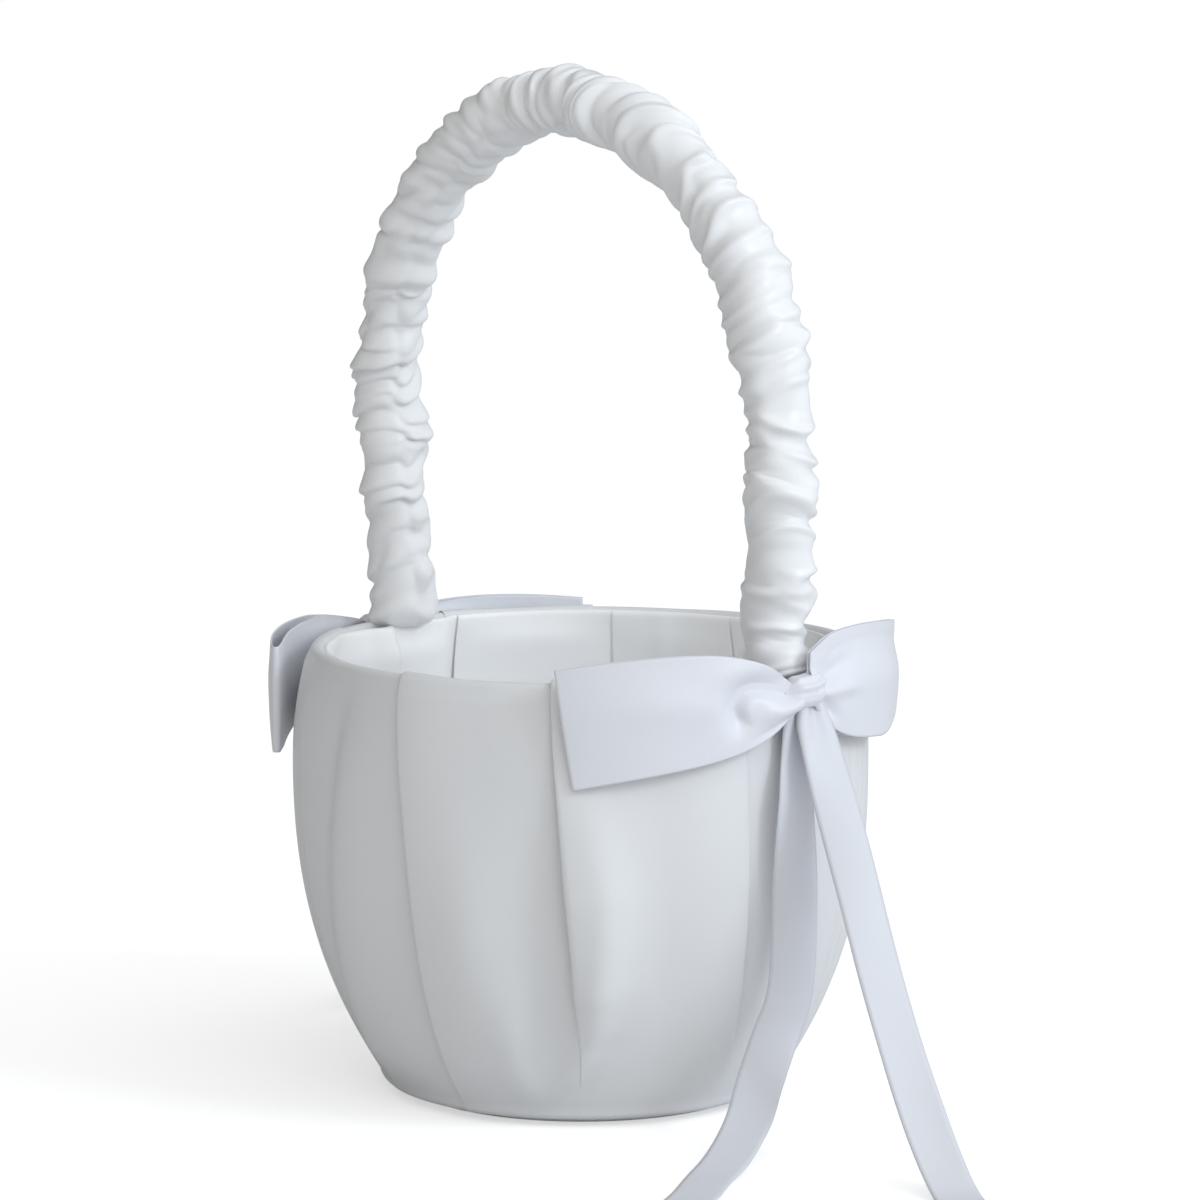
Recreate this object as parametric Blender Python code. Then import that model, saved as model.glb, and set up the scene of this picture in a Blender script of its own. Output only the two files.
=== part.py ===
"""Flower girl basket: a satin covered bucket, a ruched arch handle and a ribbon bow over each handle foot."""

import math

import bmesh
import bpy
from mathutils import Vector

# Bucket, all lengths in metres. The handle feet stand on the X axis and +Z is up.
RIM_HEIGHT = 0.100
RIM_RADIUS = 0.0612
BELLY_HEIGHT = 0.075
BELLY_RADIUS = 0.0646
BASE_RADIUS = 0.0432
LOWER_CURVE = 2.5
UPPER_CURVE = 2.2
ROUND_STEPS = 48
WALL_STEPS = 11

GAP = 0.0003
COVER_THICK = 0.0009
CORE_THICK = 0.0012
LINING_THICK = 0.0008
LIP_DEPTH = 0.008
HEM_RADIUS = 0.034

BASE_DISC_RADIUS = 0.0402
BASE_DISC_THICK = 0.0012
HEM_BOTTOM = BASE_DISC_THICK + GAP
CORE_BOTTOM = HEM_BOTTOM + COVER_THICK + GAP
CORE_FLOOR_THICK = 0.0016
FLOOR_BOTTOM = CORE_BOTTOM + CORE_FLOOR_THICK + GAP
FLOOR_THICK = 0.0014
LINING_BOTTOM = FLOOR_BOTTOM + FLOOR_THICK + GAP
CORE_TOP = RIM_HEIGHT - COVER_THICK - GAP
LINING_TOP = RIM_HEIGHT - 0.0012

# Distance of each layer's outer face inside the cover's outer face.
CORE_DEPTH = COVER_THICK + GAP
LIP_FACE_DEPTH = CORE_DEPTH + CORE_THICK + GAP
LINING_DEPTH = LIP_FACE_DEPTH + LINING_THICK + GAP
FOOT_DEPTH = LINING_DEPTH + GAP

# Handle
STRIP_WIDTH = 0.011
STRIP_THICK = 0.0012
STRIP_END_HEIGHT = 0.064
FOOT_BULGE = 0.0032
FOOT_BULGE_HALF_WIDTH = 0.0105
FOOT_BULGE_FADE = 0.006
ARCH_SPRING_HEIGHT = 0.150
ARCH_HALF_SPAN = 0.0588
ARCH_RISE = 0.0705
ARCH_WAIST = 0.0045
ARCH_WAIST_CURVE = 2.2
ARCH_LEAN = 0.045
ARCH_START = 0.008
HANDLE_STEPS = 160
SLEEVE_HALF_THICK = 0.0070
SLEEVE_HALF_WIDTH = 0.0075
SLEEVE_HOLE_THICK = STRIP_THICK / 2 + 0.0014
SLEEVE_HOLE_WIDTH = STRIP_WIDTH / 2 + 0.0009
SLEEVE_SIDES = 12
SLEEVE_STEPS = 40
SLEEVE_BOTTOM = 0.1012
RIVET_HEIGHTS = (0.070, 0.082)
RIVET_SHANK = 0.0013
RIVET_HEAD = 0.0024
RIVET_HEAD_THICK = 0.0008
RIVET_HEAD_GAP = 0.0005
RIVET_SIDES = 12
RIVET_HOLE_DEPTH = 0.012

# Bows
BOW_HEIGHT = 0.0925
BOW_RADIUS = 0.0672
BOW_TURN = math.radians(-2.0)
LOOP_SWEEP = math.radians(48.7)
LOOP_RIBBON = 0.0255
LOOP_PINCH = 0.0044
LOOP_OPENING = 0.30
LOOP_PUFF = 0.0012
LOOP_NIP = 0.0005
LOOP_STEPS = 12
LOOP_FOLD = 0.016
RIBBON_THICK = 0.0006
KNOT_HEIGHT = 0.0960
KNOT_RADIUS = 0.0672
KNOT_HALF_LENGTH = 0.0036
KNOT_HALF_HEIGHT = 0.0040
KNOT_HALF_DEPTH = 0.0027
KNOT_SWELL = 0.10
KNOT_WALL = 0.0009
KNOT_SIDES = 14
KNOT_SHARE = (KNOT_HALF_LENGTH + 0.0008) / (BOW_RADIUS * LOOP_SWEEP)
THREAD_RADIUS = 0.0005
THREAD_SIDES = 8

# Tails
TAIL_RIBBON = 0.0100
TAIL_GATHER = 0.55
TAIL_TOP = 0.0912
TAIL_LOWEST = 0.0009
TAIL_STEPS = 30


def material(name, colour, roughness, metallic=0.0, sheen=0.0):
    made = bpy.data.materials.new(name)
    made.use_nodes = True
    shader = made.node_tree.nodes["Principled BSDF"]
    shader.inputs["Base Color"].default_value = (*colour, 1.0)
    shader.inputs["Roughness"].default_value = roughness
    shader.inputs["Metallic"].default_value = metallic
    shader.inputs["Sheen Weight"].default_value = sheen
    return made


def clear_scene():
    for obj in list(bpy.data.objects):
        bpy.data.objects.remove(obj, do_unlink=True)


def mesh_object(name, points, faces, look, smooth=True):
    mesh = bpy.data.meshes.new(name)
    mesh.from_pydata([tuple(point) for point in points], [], faces)
    outward = bmesh.new()
    outward.from_mesh(mesh)
    bmesh.ops.recalc_face_normals(outward, faces=outward.faces)
    outward.to_mesh(mesh)
    outward.free()
    for face in mesh.polygons:
        face.use_smooth = smooth
    mesh.materials.append(look)
    obj = bpy.data.objects.new(name, mesh)
    bpy.context.scene.collection.objects.link(obj)
    return obj


def stack_rings(name, rings, look, closed=False, smooth=True):
    """A skin over equal rings of points. Open stacks get a cap at each end, closed ones join up."""
    sides = len(rings[0])
    points = [point for ring in rings for point in ring]
    faces = []
    for i in range(len(rings) if closed else len(rings) - 1):
        low = i * sides
        high = (i + 1) % len(rings) * sides
        for j in range(sides):
            k = (j + 1) % sides
            faces.append((low + j, low + k, high + k, high + j))
    if not closed:
        faces.append(tuple(reversed(range(sides))))
        faces.append(tuple(range(len(points) - sides, len(points))))
    return mesh_object(name, points, faces, look, smooth)


def revolve(name, section, look, inset=None):
    """Turns a closed section of (radius, height) about Z. inset(angle) moves it towards the axis."""
    rings = []
    for step in range(ROUND_STEPS):
        angle = 2 * math.pi * step / ROUND_STEPS
        shift = inset(angle) if inset else 0.0
        ring = []
        for radius, height in section:
            reach = radius - shift
            ring.append((reach * math.cos(angle), reach * math.sin(angle), height))
        rings.append(ring)
    return stack_rings(name, rings, look, closed=True)


def level_ring(radius, height, steps):
    """A level circle of points about Z."""
    turn = [2 * math.pi * step / steps for step in range(steps)]
    return [(radius * math.cos(angle), radius * math.sin(angle), height) for angle in turn]


def disc(name, radius, bottom, thickness, look):
    """A round flat disc with a small chamfer round both edges."""
    edge = min(0.0004, thickness / 3)
    levels = ((radius - edge, 0), (radius, edge), (radius, thickness - edge), (radius - edge, thickness))
    rings = [level_ring(reach, bottom + rise, ROUND_STEPS) for reach, rise in levels]
    return stack_rings(name, rings, look)


def body_radius(height):
    """Radius of the cover's outer face at a height."""
    if height < BELLY_HEIGHT:
        share = (BELLY_HEIGHT - height) / BELLY_HEIGHT
        return BELLY_RADIUS - (BELLY_RADIUS - BASE_RADIUS) * share**LOWER_CURVE
    share = (height - BELLY_HEIGHT) / (RIM_HEIGHT - BELLY_HEIGHT)
    return BELLY_RADIUS - (BELLY_RADIUS - RIM_RADIUS) * share**UPPER_CURVE


def wall_face(depth, bottom, top):
    """(radius, height) up a wall face that lies this far inside the cover."""
    heights = [bottom + (top - bottom) * i / WALL_STEPS for i in range(WALL_STEPS + 1)]
    return [(body_radius(height) - depth, height) for height in heights]


def build_base_cover(look):
    return disc("base_cover", BASE_DISC_RADIUS, 0.0, BASE_DISC_THICK, look)


def build_outer_cover(look):
    """The pleated skirt: hemmed under the bucket, up its wall and turned down inside the rim."""
    corner = 0.0022
    edge = 0.0004
    outer = wall_face(0.0, HEM_BOTTOM + corner, RIM_HEIGHT - corner)
    inner = wall_face(COVER_THICK, HEM_BOTTOM + COVER_THICK + corner / 2, CORE_TOP + GAP)
    foot = outer[0][0]
    lip_outer = LIP_FACE_DEPTH
    lip_inner = LIP_FACE_DEPTH + LINING_THICK
    lip_bottom = RIM_HEIGHT - LIP_DEPTH
    section = [(HEM_RADIUS, HEM_BOTTOM), (foot - corner, HEM_BOTTOM)]
    section += [(foot - corner * 0.4, HEM_BOTTOM + corner * 0.3)]
    section += outer
    section += [(RIM_RADIUS - edge, RIM_HEIGHT - 2 * edge), (RIM_RADIUS - 3 * edge, RIM_HEIGHT)]
    section += [(RIM_RADIUS - lip_inner + edge, RIM_HEIGHT)]
    section += [(RIM_RADIUS - lip_inner, RIM_HEIGHT - edge)]
    section += [(body_radius(lip_bottom) - lip_inner, lip_bottom)]
    section += [(body_radius(lip_bottom) - lip_outer, lip_bottom)]
    section += [(body_radius(CORE_TOP) - lip_outer, CORE_TOP + GAP)]
    section += list(reversed(inner))
    hem_top = HEM_BOTTOM + COVER_THICK
    section += [(inner[0][0] - corner / 2, hem_top), (HEM_RADIUS, hem_top)]
    return revolve("outer_cover", section, look)


def build_bucket_core(look):
    """The stiff bucket that everything else is fixed to."""
    floor_top = CORE_BOTTOM + CORE_FLOOR_THICK
    levels = wall_face(CORE_DEPTH, CORE_BOTTOM + 0.0008, CORE_TOP)
    section = [(levels[0][0] - CORE_THICK, CORE_BOTTOM)] + levels
    section += reversed(wall_face(CORE_DEPTH + CORE_THICK, floor_top, CORE_TOP))
    rings = [level_ring(radius, height, ROUND_STEPS) for radius, height in section]
    return stack_rings("bucket_core", rings, look)


def ease(share):
    """0 to 1 with a soft start and end."""
    share = min(1.0, max(0.0, share))
    return share * share * (3 - 2 * share)


def foot_bulge(angle):
    """How far the lining stands in at an angle, where it passes over a handle foot."""
    side = abs(math.remainder(angle, math.pi)) * (RIM_RADIUS - LINING_DEPTH)
    return FOOT_BULGE * ease(1.0 - (side - FOOT_BULGE_HALF_WIDTH) / FOOT_BULGE_FADE)


def build_lining(look):
    section = wall_face(LINING_DEPTH, LINING_BOTTOM, LINING_TOP)
    section += reversed(wall_face(LINING_DEPTH + LINING_THICK, LINING_BOTTOM, LINING_TOP))
    return revolve("lining", section, look, inset=foot_bulge)


def build_lining_floor(look):
    radius = body_radius(FLOOR_BOTTOM) - CORE_DEPTH - CORE_THICK - GAP
    return disc("lining_floor", radius, FLOOR_BOTTOM, FLOOR_THICK, look)


def foot_x(height):
    """Distance of a handle foot's centre from the axis, inside the bucket."""
    return body_radius(height) - FOOT_DEPTH - STRIP_THICK / 2


def arch_path():
    """Evenly spaced centre points of the handle, from the foot at -X over the top to the foot at +X."""
    leg = []
    for i in range(8):
        height = STRIP_END_HEIGHT + (RIM_HEIGHT - STRIP_END_HEIGHT) * i / 7
        leg.append((foot_x(height), height))
    low = RIM_HEIGHT + ARCH_START
    for i in range(8):
        height = low + (ARCH_SPRING_HEIGHT - low) * i / 8
        share = (ARCH_SPRING_HEIGHT - height) / (ARCH_SPRING_HEIGHT - RIM_HEIGHT)
        leg.append((ARCH_HALF_SPAN - ARCH_WAIST * share**ARCH_WAIST_CURVE, height))
    for i in range(12):
        angle = math.pi / 2 * i / 12
        leg.append((ARCH_HALF_SPAN * math.cos(angle), ARCH_SPRING_HEIGHT + ARCH_RISE * math.sin(angle)))
    points = [(-x, z) for x, z in leg]
    points.append((0.0, ARCH_SPRING_HEIGHT + ARCH_RISE))
    points += reversed(leg)
    leaned = []
    for x, z in points:
        lean = ARCH_LEAN * max(0.0, z - RIM_HEIGHT - ARCH_START)
        leaned.append(Vector((x - lean, 0.0, z)))
    return smooth_path(leaned, HANDLE_STEPS)


def smooth_path(points, count):
    """Points at even spacing on a Catmull-Rom curve through the given ones."""
    fine = []
    last = len(points) - 1
    for i in range(last):
        a = points[max(i - 1, 0)]
        b = points[i]
        c = points[i + 1]
        d = points[min(i + 2, last)]
        for j in range(12):
            t = j / 12
            fine.append(0.5 * (2 * b + (c - a) * t + (2 * a - 5 * b + 4 * c - d) * t**2
                               + (3 * b - a - 3 * c + d) * t**3))
    fine.append(points[-1])
    run = [0.0]
    for a, b in zip(fine, fine[1:]):
        run.append(run[-1] + (b - a).length)
    even = []
    k = 0
    for i in range(count):
        target = run[-1] * i / (count - 1)
        while k < len(fine) - 2 and run[k + 1] < target:
            k += 1
        share = (target - run[k]) / (run[k + 1] - run[k])
        even.append(fine[k].lerp(fine[k + 1], share))
    return even


def tangents(points):
    found = []
    for i in range(len(points)):
        ahead = points[min(i + 1, len(points) - 1)]
        behind = points[max(i - 1, 0)]
        found.append((ahead - behind).normalized())
    return found


def rivet_cutters():
    cutters = []
    for side in (-1, 1):
        for height in RIVET_HEIGHTS:
            bpy.ops.mesh.primitive_cylinder_add(
                vertices=RIVET_SIDES, radius=RIVET_SHANK + GAP, depth=RIVET_HOLE_DEPTH,
                location=(side * foot_x(height), 0.0, height), rotation=(0.0, math.pi / 2, 0.0))
            cutter = bpy.context.object
            cutter.name = "cutter_rivet"
            cutter.hide_render = True
            cutter.display_type = "WIRE"
            cutters.append(cutter)
    return cutters


def cut(obj, cutters):
    for cutter in cutters:
        hole = obj.modifiers.new("rivet hole", "BOOLEAN")
        hole.operation = "DIFFERENCE"
        hole.solver = "EXACT"
        hole.object = cutter


def build_handle_core(look):
    path = arch_path()
    ways = tangents(path)
    rings = []
    for point, way in zip(path[::2] + path[-1:], ways[::2] + ways[-1:]):
        out = way.cross(Vector((0.0, 1.0, 0.0))) * STRIP_THICK / 2
        side = Vector((0.0, STRIP_WIDTH / 2, 0.0))
        rings.append([point + out + side, point + out - side, point - out - side, point - out + side])
    return stack_rings("handle_core", rings, look, smooth=False)


def sleeve_ring(point, way, half_thick, half_width):
    out = way.cross(Vector((0.0, 1.0, 0.0)))
    ring = []
    for i in range(SLEEVE_SIDES):
        angle = 2 * math.pi * (i + 0.5) / SLEEVE_SIDES
        ring.append(point - out * half_thick * math.cos(angle)
                    + Vector((0.0, half_width * math.sin(angle), 0.0)))
    return ring


def build_handle_sleeve(look):
    """The gathered tube of satin that is drawn over the handle strip, from rim to rim."""
    path = [point for point in arch_path() if point.z > SLEEVE_BOTTOM]
    path = smooth_path(path, SLEEVE_STEPS)
    ways = tangents(path)
    outer = []
    inner = []
    for point, way in zip(path, ways):
        outer.append(sleeve_ring(point, way, SLEEVE_HALF_THICK, SLEEVE_HALF_WIDTH))
        inner.append(sleeve_ring(point, way, SLEEVE_HOLE_THICK, SLEEVE_HOLE_WIDTH))
    rings = outer + list(reversed(inner))
    return stack_rings("handle_sleeve", rings, look, closed=True)


def build_rivet(name, side, height, look):
    """A rivet through the handle strip and the bucket wall, with its flat head on the strip."""
    outer_face = body_radius(height) - CORE_DEPTH - 0.0004
    strip_inner = foot_x(height) - STRIP_THICK / 2
    head_back = strip_inner - RIVET_HEAD_GAP
    reach = ((head_back - RIVET_HEAD_THICK, RIVET_HEAD * 0.8),
             (head_back - RIVET_HEAD_THICK / 2, RIVET_HEAD),
             (head_back, RIVET_HEAD), (head_back, RIVET_SHANK), (outer_face, RIVET_SHANK))
    rings = []
    for x, radius in reach:
        circle = level_ring(radius, 0.0, RIVET_SIDES)
        rings.append([(side * x, across, height + rise) for across, rise, _ in circle])
    return stack_rings(name, rings, look)


def ribbon(name, centres, acrosses, thickness, look):
    """A strip of ribbon: centre points, each with a half width vector across the strip."""
    ways = tangents(centres)
    rings = []
    for centre, across, way in zip(centres, acrosses, ways):
        face = across.cross(way).normalized() * thickness / 2
        rings.append([centre + across + face, centre - across + face,
                      centre - across - face, centre + across - face])
    return stack_rings(name, rings, look, smooth=False)


def around(side, radius, angle, height):
    """A point at an angle from the bow's middle. side is 1 for the bow at +X and -1 for the one at -X."""
    turn = angle + BOW_TURN
    return Vector((side * radius * math.cos(turn), side * radius * math.sin(turn), height))


def build_loop(name, side, hand, look):
    """One bow loop: out along the back layer, round the fold and back along the front layer."""
    start = 2 * GAP / KNOT_RADIUS
    centres = []
    acrosses = []
    for layer in (-1, 1):
        for i in range(LOOP_STEPS + 1):
            share = i / LOOP_STEPS if layer < 0 else 1 - i / LOOP_STEPS
            angle = hand * (start + (LOOP_SWEEP - start) * share)
            opened = ease((share - KNOT_SHARE) / LOOP_OPENING)
            puff = LOOP_PUFF * opened * (1.0 if share < 0.93 else 0.62)
            radius = KNOT_RADIUS + (BOW_RADIUS - KNOT_RADIUS) * opened + layer * (LOOP_NIP + puff)
            height = KNOT_HEIGHT + (BOW_HEIGHT - KNOT_HEIGHT) * opened
            half = (LOOP_PINCH + (LOOP_RIBBON - LOOP_PINCH) * opened) / 2
            centres.append(around(side, radius, angle, height))
            acrosses.append(Vector((0.0, 0.0, half)))
        if layer < 0:
            tip = around(side, BOW_RADIUS, hand * (LOOP_SWEEP + LOOP_FOLD), BOW_HEIGHT)
            centres.append(tip)
            acrosses.append(Vector((0.0, 0.0, LOOP_RIBBON / 2)))
    return ribbon(name, centres, acrosses, RIBBON_THICK, look)


def build_knot(name, side, look):
    """The short wrap of ribbon round the pinched middle of the bow."""
    centre = around(side, KNOT_RADIUS, 0.0, KNOT_HEIGHT)
    outward = around(side, 1.0, 0.0, 0.0)
    along = around(side, 1.0, math.pi / 2, 0.0)

    def ring(offset, half_depth, half_height):
        made = []
        for i in range(KNOT_SIDES):
            angle = 2 * math.pi * i / KNOT_SIDES
            rise = Vector((0.0, 0.0, half_height * math.sin(angle)))
            made.append(centre + along * offset + outward * half_depth * math.cos(angle) + rise)
        return made

    outer = []
    inner = []
    for share in (-1.0, -0.6, 0.0, 0.6, 1.0):
        swell = 1.0 - KNOT_SWELL * share * share
        offset = share * KNOT_HALF_LENGTH
        depth = KNOT_HALF_DEPTH * swell
        height = KNOT_HALF_HEIGHT * swell
        outer.append(ring(offset, depth, height))
        inner.append(ring(offset, depth - KNOT_WALL, height - KNOT_WALL / 2))
    return stack_rings(name, outer + list(reversed(inner)), look, closed=True)


def build_thread(name, side, look):
    """The tacking thread between the knot and the rim."""
    far = KNOT_RADIUS - KNOT_HALF_DEPTH - GAP
    near = body_radius(KNOT_HEIGHT) + GAP
    rings = []
    for radius in (near, far):
        ring = []
        for step in range(THREAD_SIDES):
            angle = 2 * math.pi * step / THREAD_SIDES
            height = KNOT_HEIGHT + THREAD_RADIUS * math.sin(angle)
            ring.append(around(side, radius, THREAD_RADIUS * math.cos(angle) / radius, height))
        rings.append(ring)
    return stack_rings(name, rings, look)


def build_tail(name, points, turns, look):
    """A free ribbon end through the given points. turns are its width's bearings along it, in degrees."""
    path = smooth_path([Vector(point) for point in points], TAIL_STEPS)
    centres = []
    acrosses = []
    for i, point in enumerate(path):
        share = i / (TAIL_STEPS - 1)
        place = share * (len(turns) - 1)
        low = min(int(place), len(turns) - 2)
        bearing = math.radians(turns[low] + (turns[low + 1] - turns[low]) * (place - low))
        spread = TAIL_GATHER + (1 - TAIL_GATHER) * min(1.0, share / 0.1)
        centres.append(Vector((point.x, point.y, max(point.z, TAIL_LOWEST))))
        acrosses.append(Vector((math.cos(bearing), math.sin(bearing), 0.0)) * TAIL_RIBBON / 2 * spread)
    return ribbon(name, centres, acrosses, RIBBON_THICK, look)


def place_on_axis(obj, point):
    """Moves the object's origin to a point, leaving its mesh where it is."""
    shift = Vector(point)
    for vertex in obj.data.vertices:
        vertex.co -= shift
    obj.location = shift


def build_bow(prefix, side, tails, satin, thread_look):
    build_loop(prefix + "_loop_left", side, -1, satin)
    build_loop(prefix + "_loop_right", side, 1, satin)
    build_knot(prefix + "_knot", side, satin)
    build_thread(prefix + "_thread", side, thread_look)
    for name, points, turns in tails:
        tail = build_tail(prefix + name, points, turns, satin)
        place_on_axis(tail, points[0])


def front_tails():
    """The left one drops to the table and runs forward, the right one slants straight out and down."""
    left = [(0.0662, -0.0034, TAIL_TOP), (0.0668, -0.0048, 0.0830), (0.0684, -0.0074, 0.0720),
            (0.0688, -0.0081, 0.0560), (0.0686, -0.0083, 0.0400), (0.0680, -0.0092, 0.0300),
            (0.0672, -0.0128, 0.0220), (0.0694, -0.0200, 0.0145), (0.0732, -0.0285, 0.0080),
            (0.0774, -0.0400, 0.0030), (0.0807, -0.0503, TAIL_LOWEST), (0.0878, -0.0640, TAIL_LOWEST),
            (0.0930, -0.0790, TAIL_LOWEST), (0.0950, -0.0950, TAIL_LOWEST)]
    right = [(0.0682, -0.0016, TAIL_TOP), (0.0745, -0.0040, 0.0790), (0.0860, -0.0085, 0.0580),
             (0.0970, -0.0130, 0.0380), (0.1080, -0.0175, 0.0210), (0.1180, -0.0215, 0.0080),
             (0.1270, -0.0260, TAIL_LOWEST), (0.1370, -0.0330, TAIL_LOWEST), (0.1460, -0.0430, TAIL_LOWEST),
             (0.1520, -0.0560, TAIL_LOWEST)]
    return (("_tail_left", left, (84, 56, 48, 46, 36, 24, 18, 8)),
            ("_tail_right", right, (84, 62, 60, 60, 58, 56, 40, 26)))


def back_tails():
    """Both drop behind the bucket and run off over the table on the far side."""
    left = [(-0.0662, 0.0034, TAIL_TOP), (-0.0672, 0.0046, 0.0800), (-0.0686, 0.0054, 0.0600),
            (-0.0688, 0.0060, 0.0400), (-0.0686, 0.0082, 0.0230), (-0.0690, 0.0150, 0.0110),
            (-0.0710, 0.0260, 0.0035), (-0.0728, 0.0400, TAIL_LOWEST), (-0.0740, 0.0640, TAIL_LOWEST),
            (-0.0770, 0.0960, TAIL_LOWEST)]
    right = [(-0.0682, 0.0016, TAIL_TOP), (-0.0712, 0.0020, 0.0780), (-0.0748, 0.0030, 0.0560),
             (-0.0780, 0.0052, 0.0360), (-0.0830, 0.0095, 0.0190), (-0.0895, 0.0170, 0.0070),
             (-0.0965, 0.0280, TAIL_LOWEST), (-0.1050, 0.0460, TAIL_LOWEST), (-0.1190, 0.0740, TAIL_LOWEST)]
    return (("_tail_left", left, (84, 98, 118, 128, 150, 170, 178)),
            ("_tail_right", right, (84, 92, 104, 114, 130, 144, 152)))


def build():
    clear_scene()
    satin = material("white_satin", (0.90, 0.90, 0.93), 0.38, sheen=0.4)
    cover_satin = material("cover_satin", (0.88, 0.88, 0.90), 0.42, sheen=0.4)
    lining_satin = material("lining_satin", (0.90, 0.90, 0.91), 0.45, sheen=0.3)
    board = material("bucket_plastic", (0.82, 0.82, 0.80), 0.55)
    strip = material("handle_plastic", (0.78, 0.78, 0.76), 0.50)
    metal = material("rivet_aluminium", (0.72, 0.73, 0.75), 0.35, metallic=1.0)
    thread_look = material("white_thread", (0.92, 0.92, 0.92), 0.70)

    build_base_cover(cover_satin)
    build_outer_cover(cover_satin)
    core = build_bucket_core(board)
    build_lining(lining_satin)
    build_lining_floor(lining_satin)
    handle = build_handle_core(strip)
    build_handle_sleeve(satin)
    cutters = rivet_cutters()
    cut(core, cutters)
    cut(handle, cutters)
    for side, where in ((1, "front"), (-1, "back")):
        for height, level in zip(RIVET_HEIGHTS, ("lower", "upper")):
            build_rivet(f"rivet_{where}_{level}", side, height, metal)
    build_bow("bow_front", 1, front_tails(), satin, thread_look)
    build_bow("bow_back", -1, back_tails(), satin, thread_look)


build()
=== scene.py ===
"""Looks of the satin flower girl basket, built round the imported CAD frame. All lengths are in metres."""

import functools
import math
from collections import namedtuple

import bmesh
import bpy
import numpy as np
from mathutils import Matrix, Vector


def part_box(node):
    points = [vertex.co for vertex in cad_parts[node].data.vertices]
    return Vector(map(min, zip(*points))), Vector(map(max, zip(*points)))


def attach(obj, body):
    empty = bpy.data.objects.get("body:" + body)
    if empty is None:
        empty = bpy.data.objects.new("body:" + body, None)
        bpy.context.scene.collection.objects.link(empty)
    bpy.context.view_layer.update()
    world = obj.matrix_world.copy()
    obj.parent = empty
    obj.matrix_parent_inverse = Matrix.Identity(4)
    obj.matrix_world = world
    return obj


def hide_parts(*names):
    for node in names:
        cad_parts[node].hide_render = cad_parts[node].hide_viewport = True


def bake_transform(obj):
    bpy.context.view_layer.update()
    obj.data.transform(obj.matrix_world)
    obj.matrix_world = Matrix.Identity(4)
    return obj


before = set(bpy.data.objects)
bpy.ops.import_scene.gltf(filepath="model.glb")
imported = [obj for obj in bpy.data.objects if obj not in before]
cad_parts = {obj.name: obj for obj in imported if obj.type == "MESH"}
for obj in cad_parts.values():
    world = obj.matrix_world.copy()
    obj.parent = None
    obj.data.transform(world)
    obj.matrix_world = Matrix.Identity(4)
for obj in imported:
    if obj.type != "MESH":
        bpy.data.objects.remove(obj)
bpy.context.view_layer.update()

# The bucket's driving dimensions, the same as the CAD's. The handle's feet stand on the X axis.
RIM_HEIGHT = 0.100
RIM_RADIUS = 0.0612
BELLY_HEIGHT = 0.075
BELLY_RADIUS = 0.0646
BASE_RADIUS = 0.0432
LOWER_CURVE = 2.5
UPPER_CURVE = 2.2
HEM_RADIUS = 0.034
HEM_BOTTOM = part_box("outer_cover")[0].z
BASE_CORNER = 0.0026
RIM_ROUND = 0.0018
LIP_FACE = 0.0035
LIP_BOTTOM = 0.093
LINING_FACE = 0.0046
LINING_TOP = RIM_HEIGHT - 0.0005
LINING_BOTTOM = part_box("lining")[0].z
FLOOR_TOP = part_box("lining_floor")[1].z
FLOOR_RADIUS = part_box("lining_floor")[1].x
BASE_DISC_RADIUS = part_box("base_cover")[1].x
BASE_DISC_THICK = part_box("base_cover")[1].z

# Handle
STRIP_THICK = 0.0012
STRIP_END_HEIGHT = 0.064
FOOT_DEPTH = 0.0041
FOOT_BULGE = 0.0032
FOOT_BULGE_HALF_WIDTH = 0.0105
FOOT_BULGE_FADE = 0.006
ARCH_SPRING_HEIGHT = 0.150
ARCH_HALF_SPAN = 0.0588
ARCH_RISE = 0.0705
ARCH_WAIST = 0.0045
ARCH_WAIST_CURVE = 2.2
ARCH_LEAN = 0.045
ARCH_START = 0.008
SLEEVE_HALF_THICK = 0.0070
SLEEVE_HALF_WIDTH = 0.0075
SLEEVE_END = 0.0955

# Bows
KNOT_HEIGHT = 0.0960
KNOT_RADIUS = 0.0672
BOW_TURN = math.radians(-2.0)
LOOP_SWEEP = math.radians(48.7)
LOOP_HALF_RIBBON = 0.01275
LOOP_HALF_PINCH = 0.0024
TAIL_HALF_RIBBON = 0.0050
RIBBON_THICK = 0.00032
TAIL_LOWEST = 0.0009

MM = 0.001


# ---------------------------------------------------------------- small maths

def ease(share):
    """0 to 1 with a soft start and end."""
    share = np.clip(share, 0.0, 1.0)
    return share * share * (3 - 2 * share)


def bell(value, middle, width):
    """1 at the middle, falling off to both sides."""
    return np.exp(-(((value - middle) / width) ** 2))


def body_radius(height):
    """Radius of the cover's outer face at a height."""
    height = np.asarray(height, float)
    below = np.clip((BELLY_HEIGHT - height) / BELLY_HEIGHT, 0, None) ** LOWER_CURVE
    above = np.clip((height - BELLY_HEIGHT) / (RIM_HEIGHT - BELLY_HEIGHT), 0, None) ** UPPER_CURVE
    return BELLY_RADIUS - (BELLY_RADIUS - BASE_RADIUS) * below - (BELLY_RADIUS - RIM_RADIUS) * above


def path_run(points):
    """Distance run along a path of points, from 0 at its start."""
    return np.concatenate([[0], np.cumsum(np.linalg.norm(np.diff(points, axis=0), axis=1))])


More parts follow.
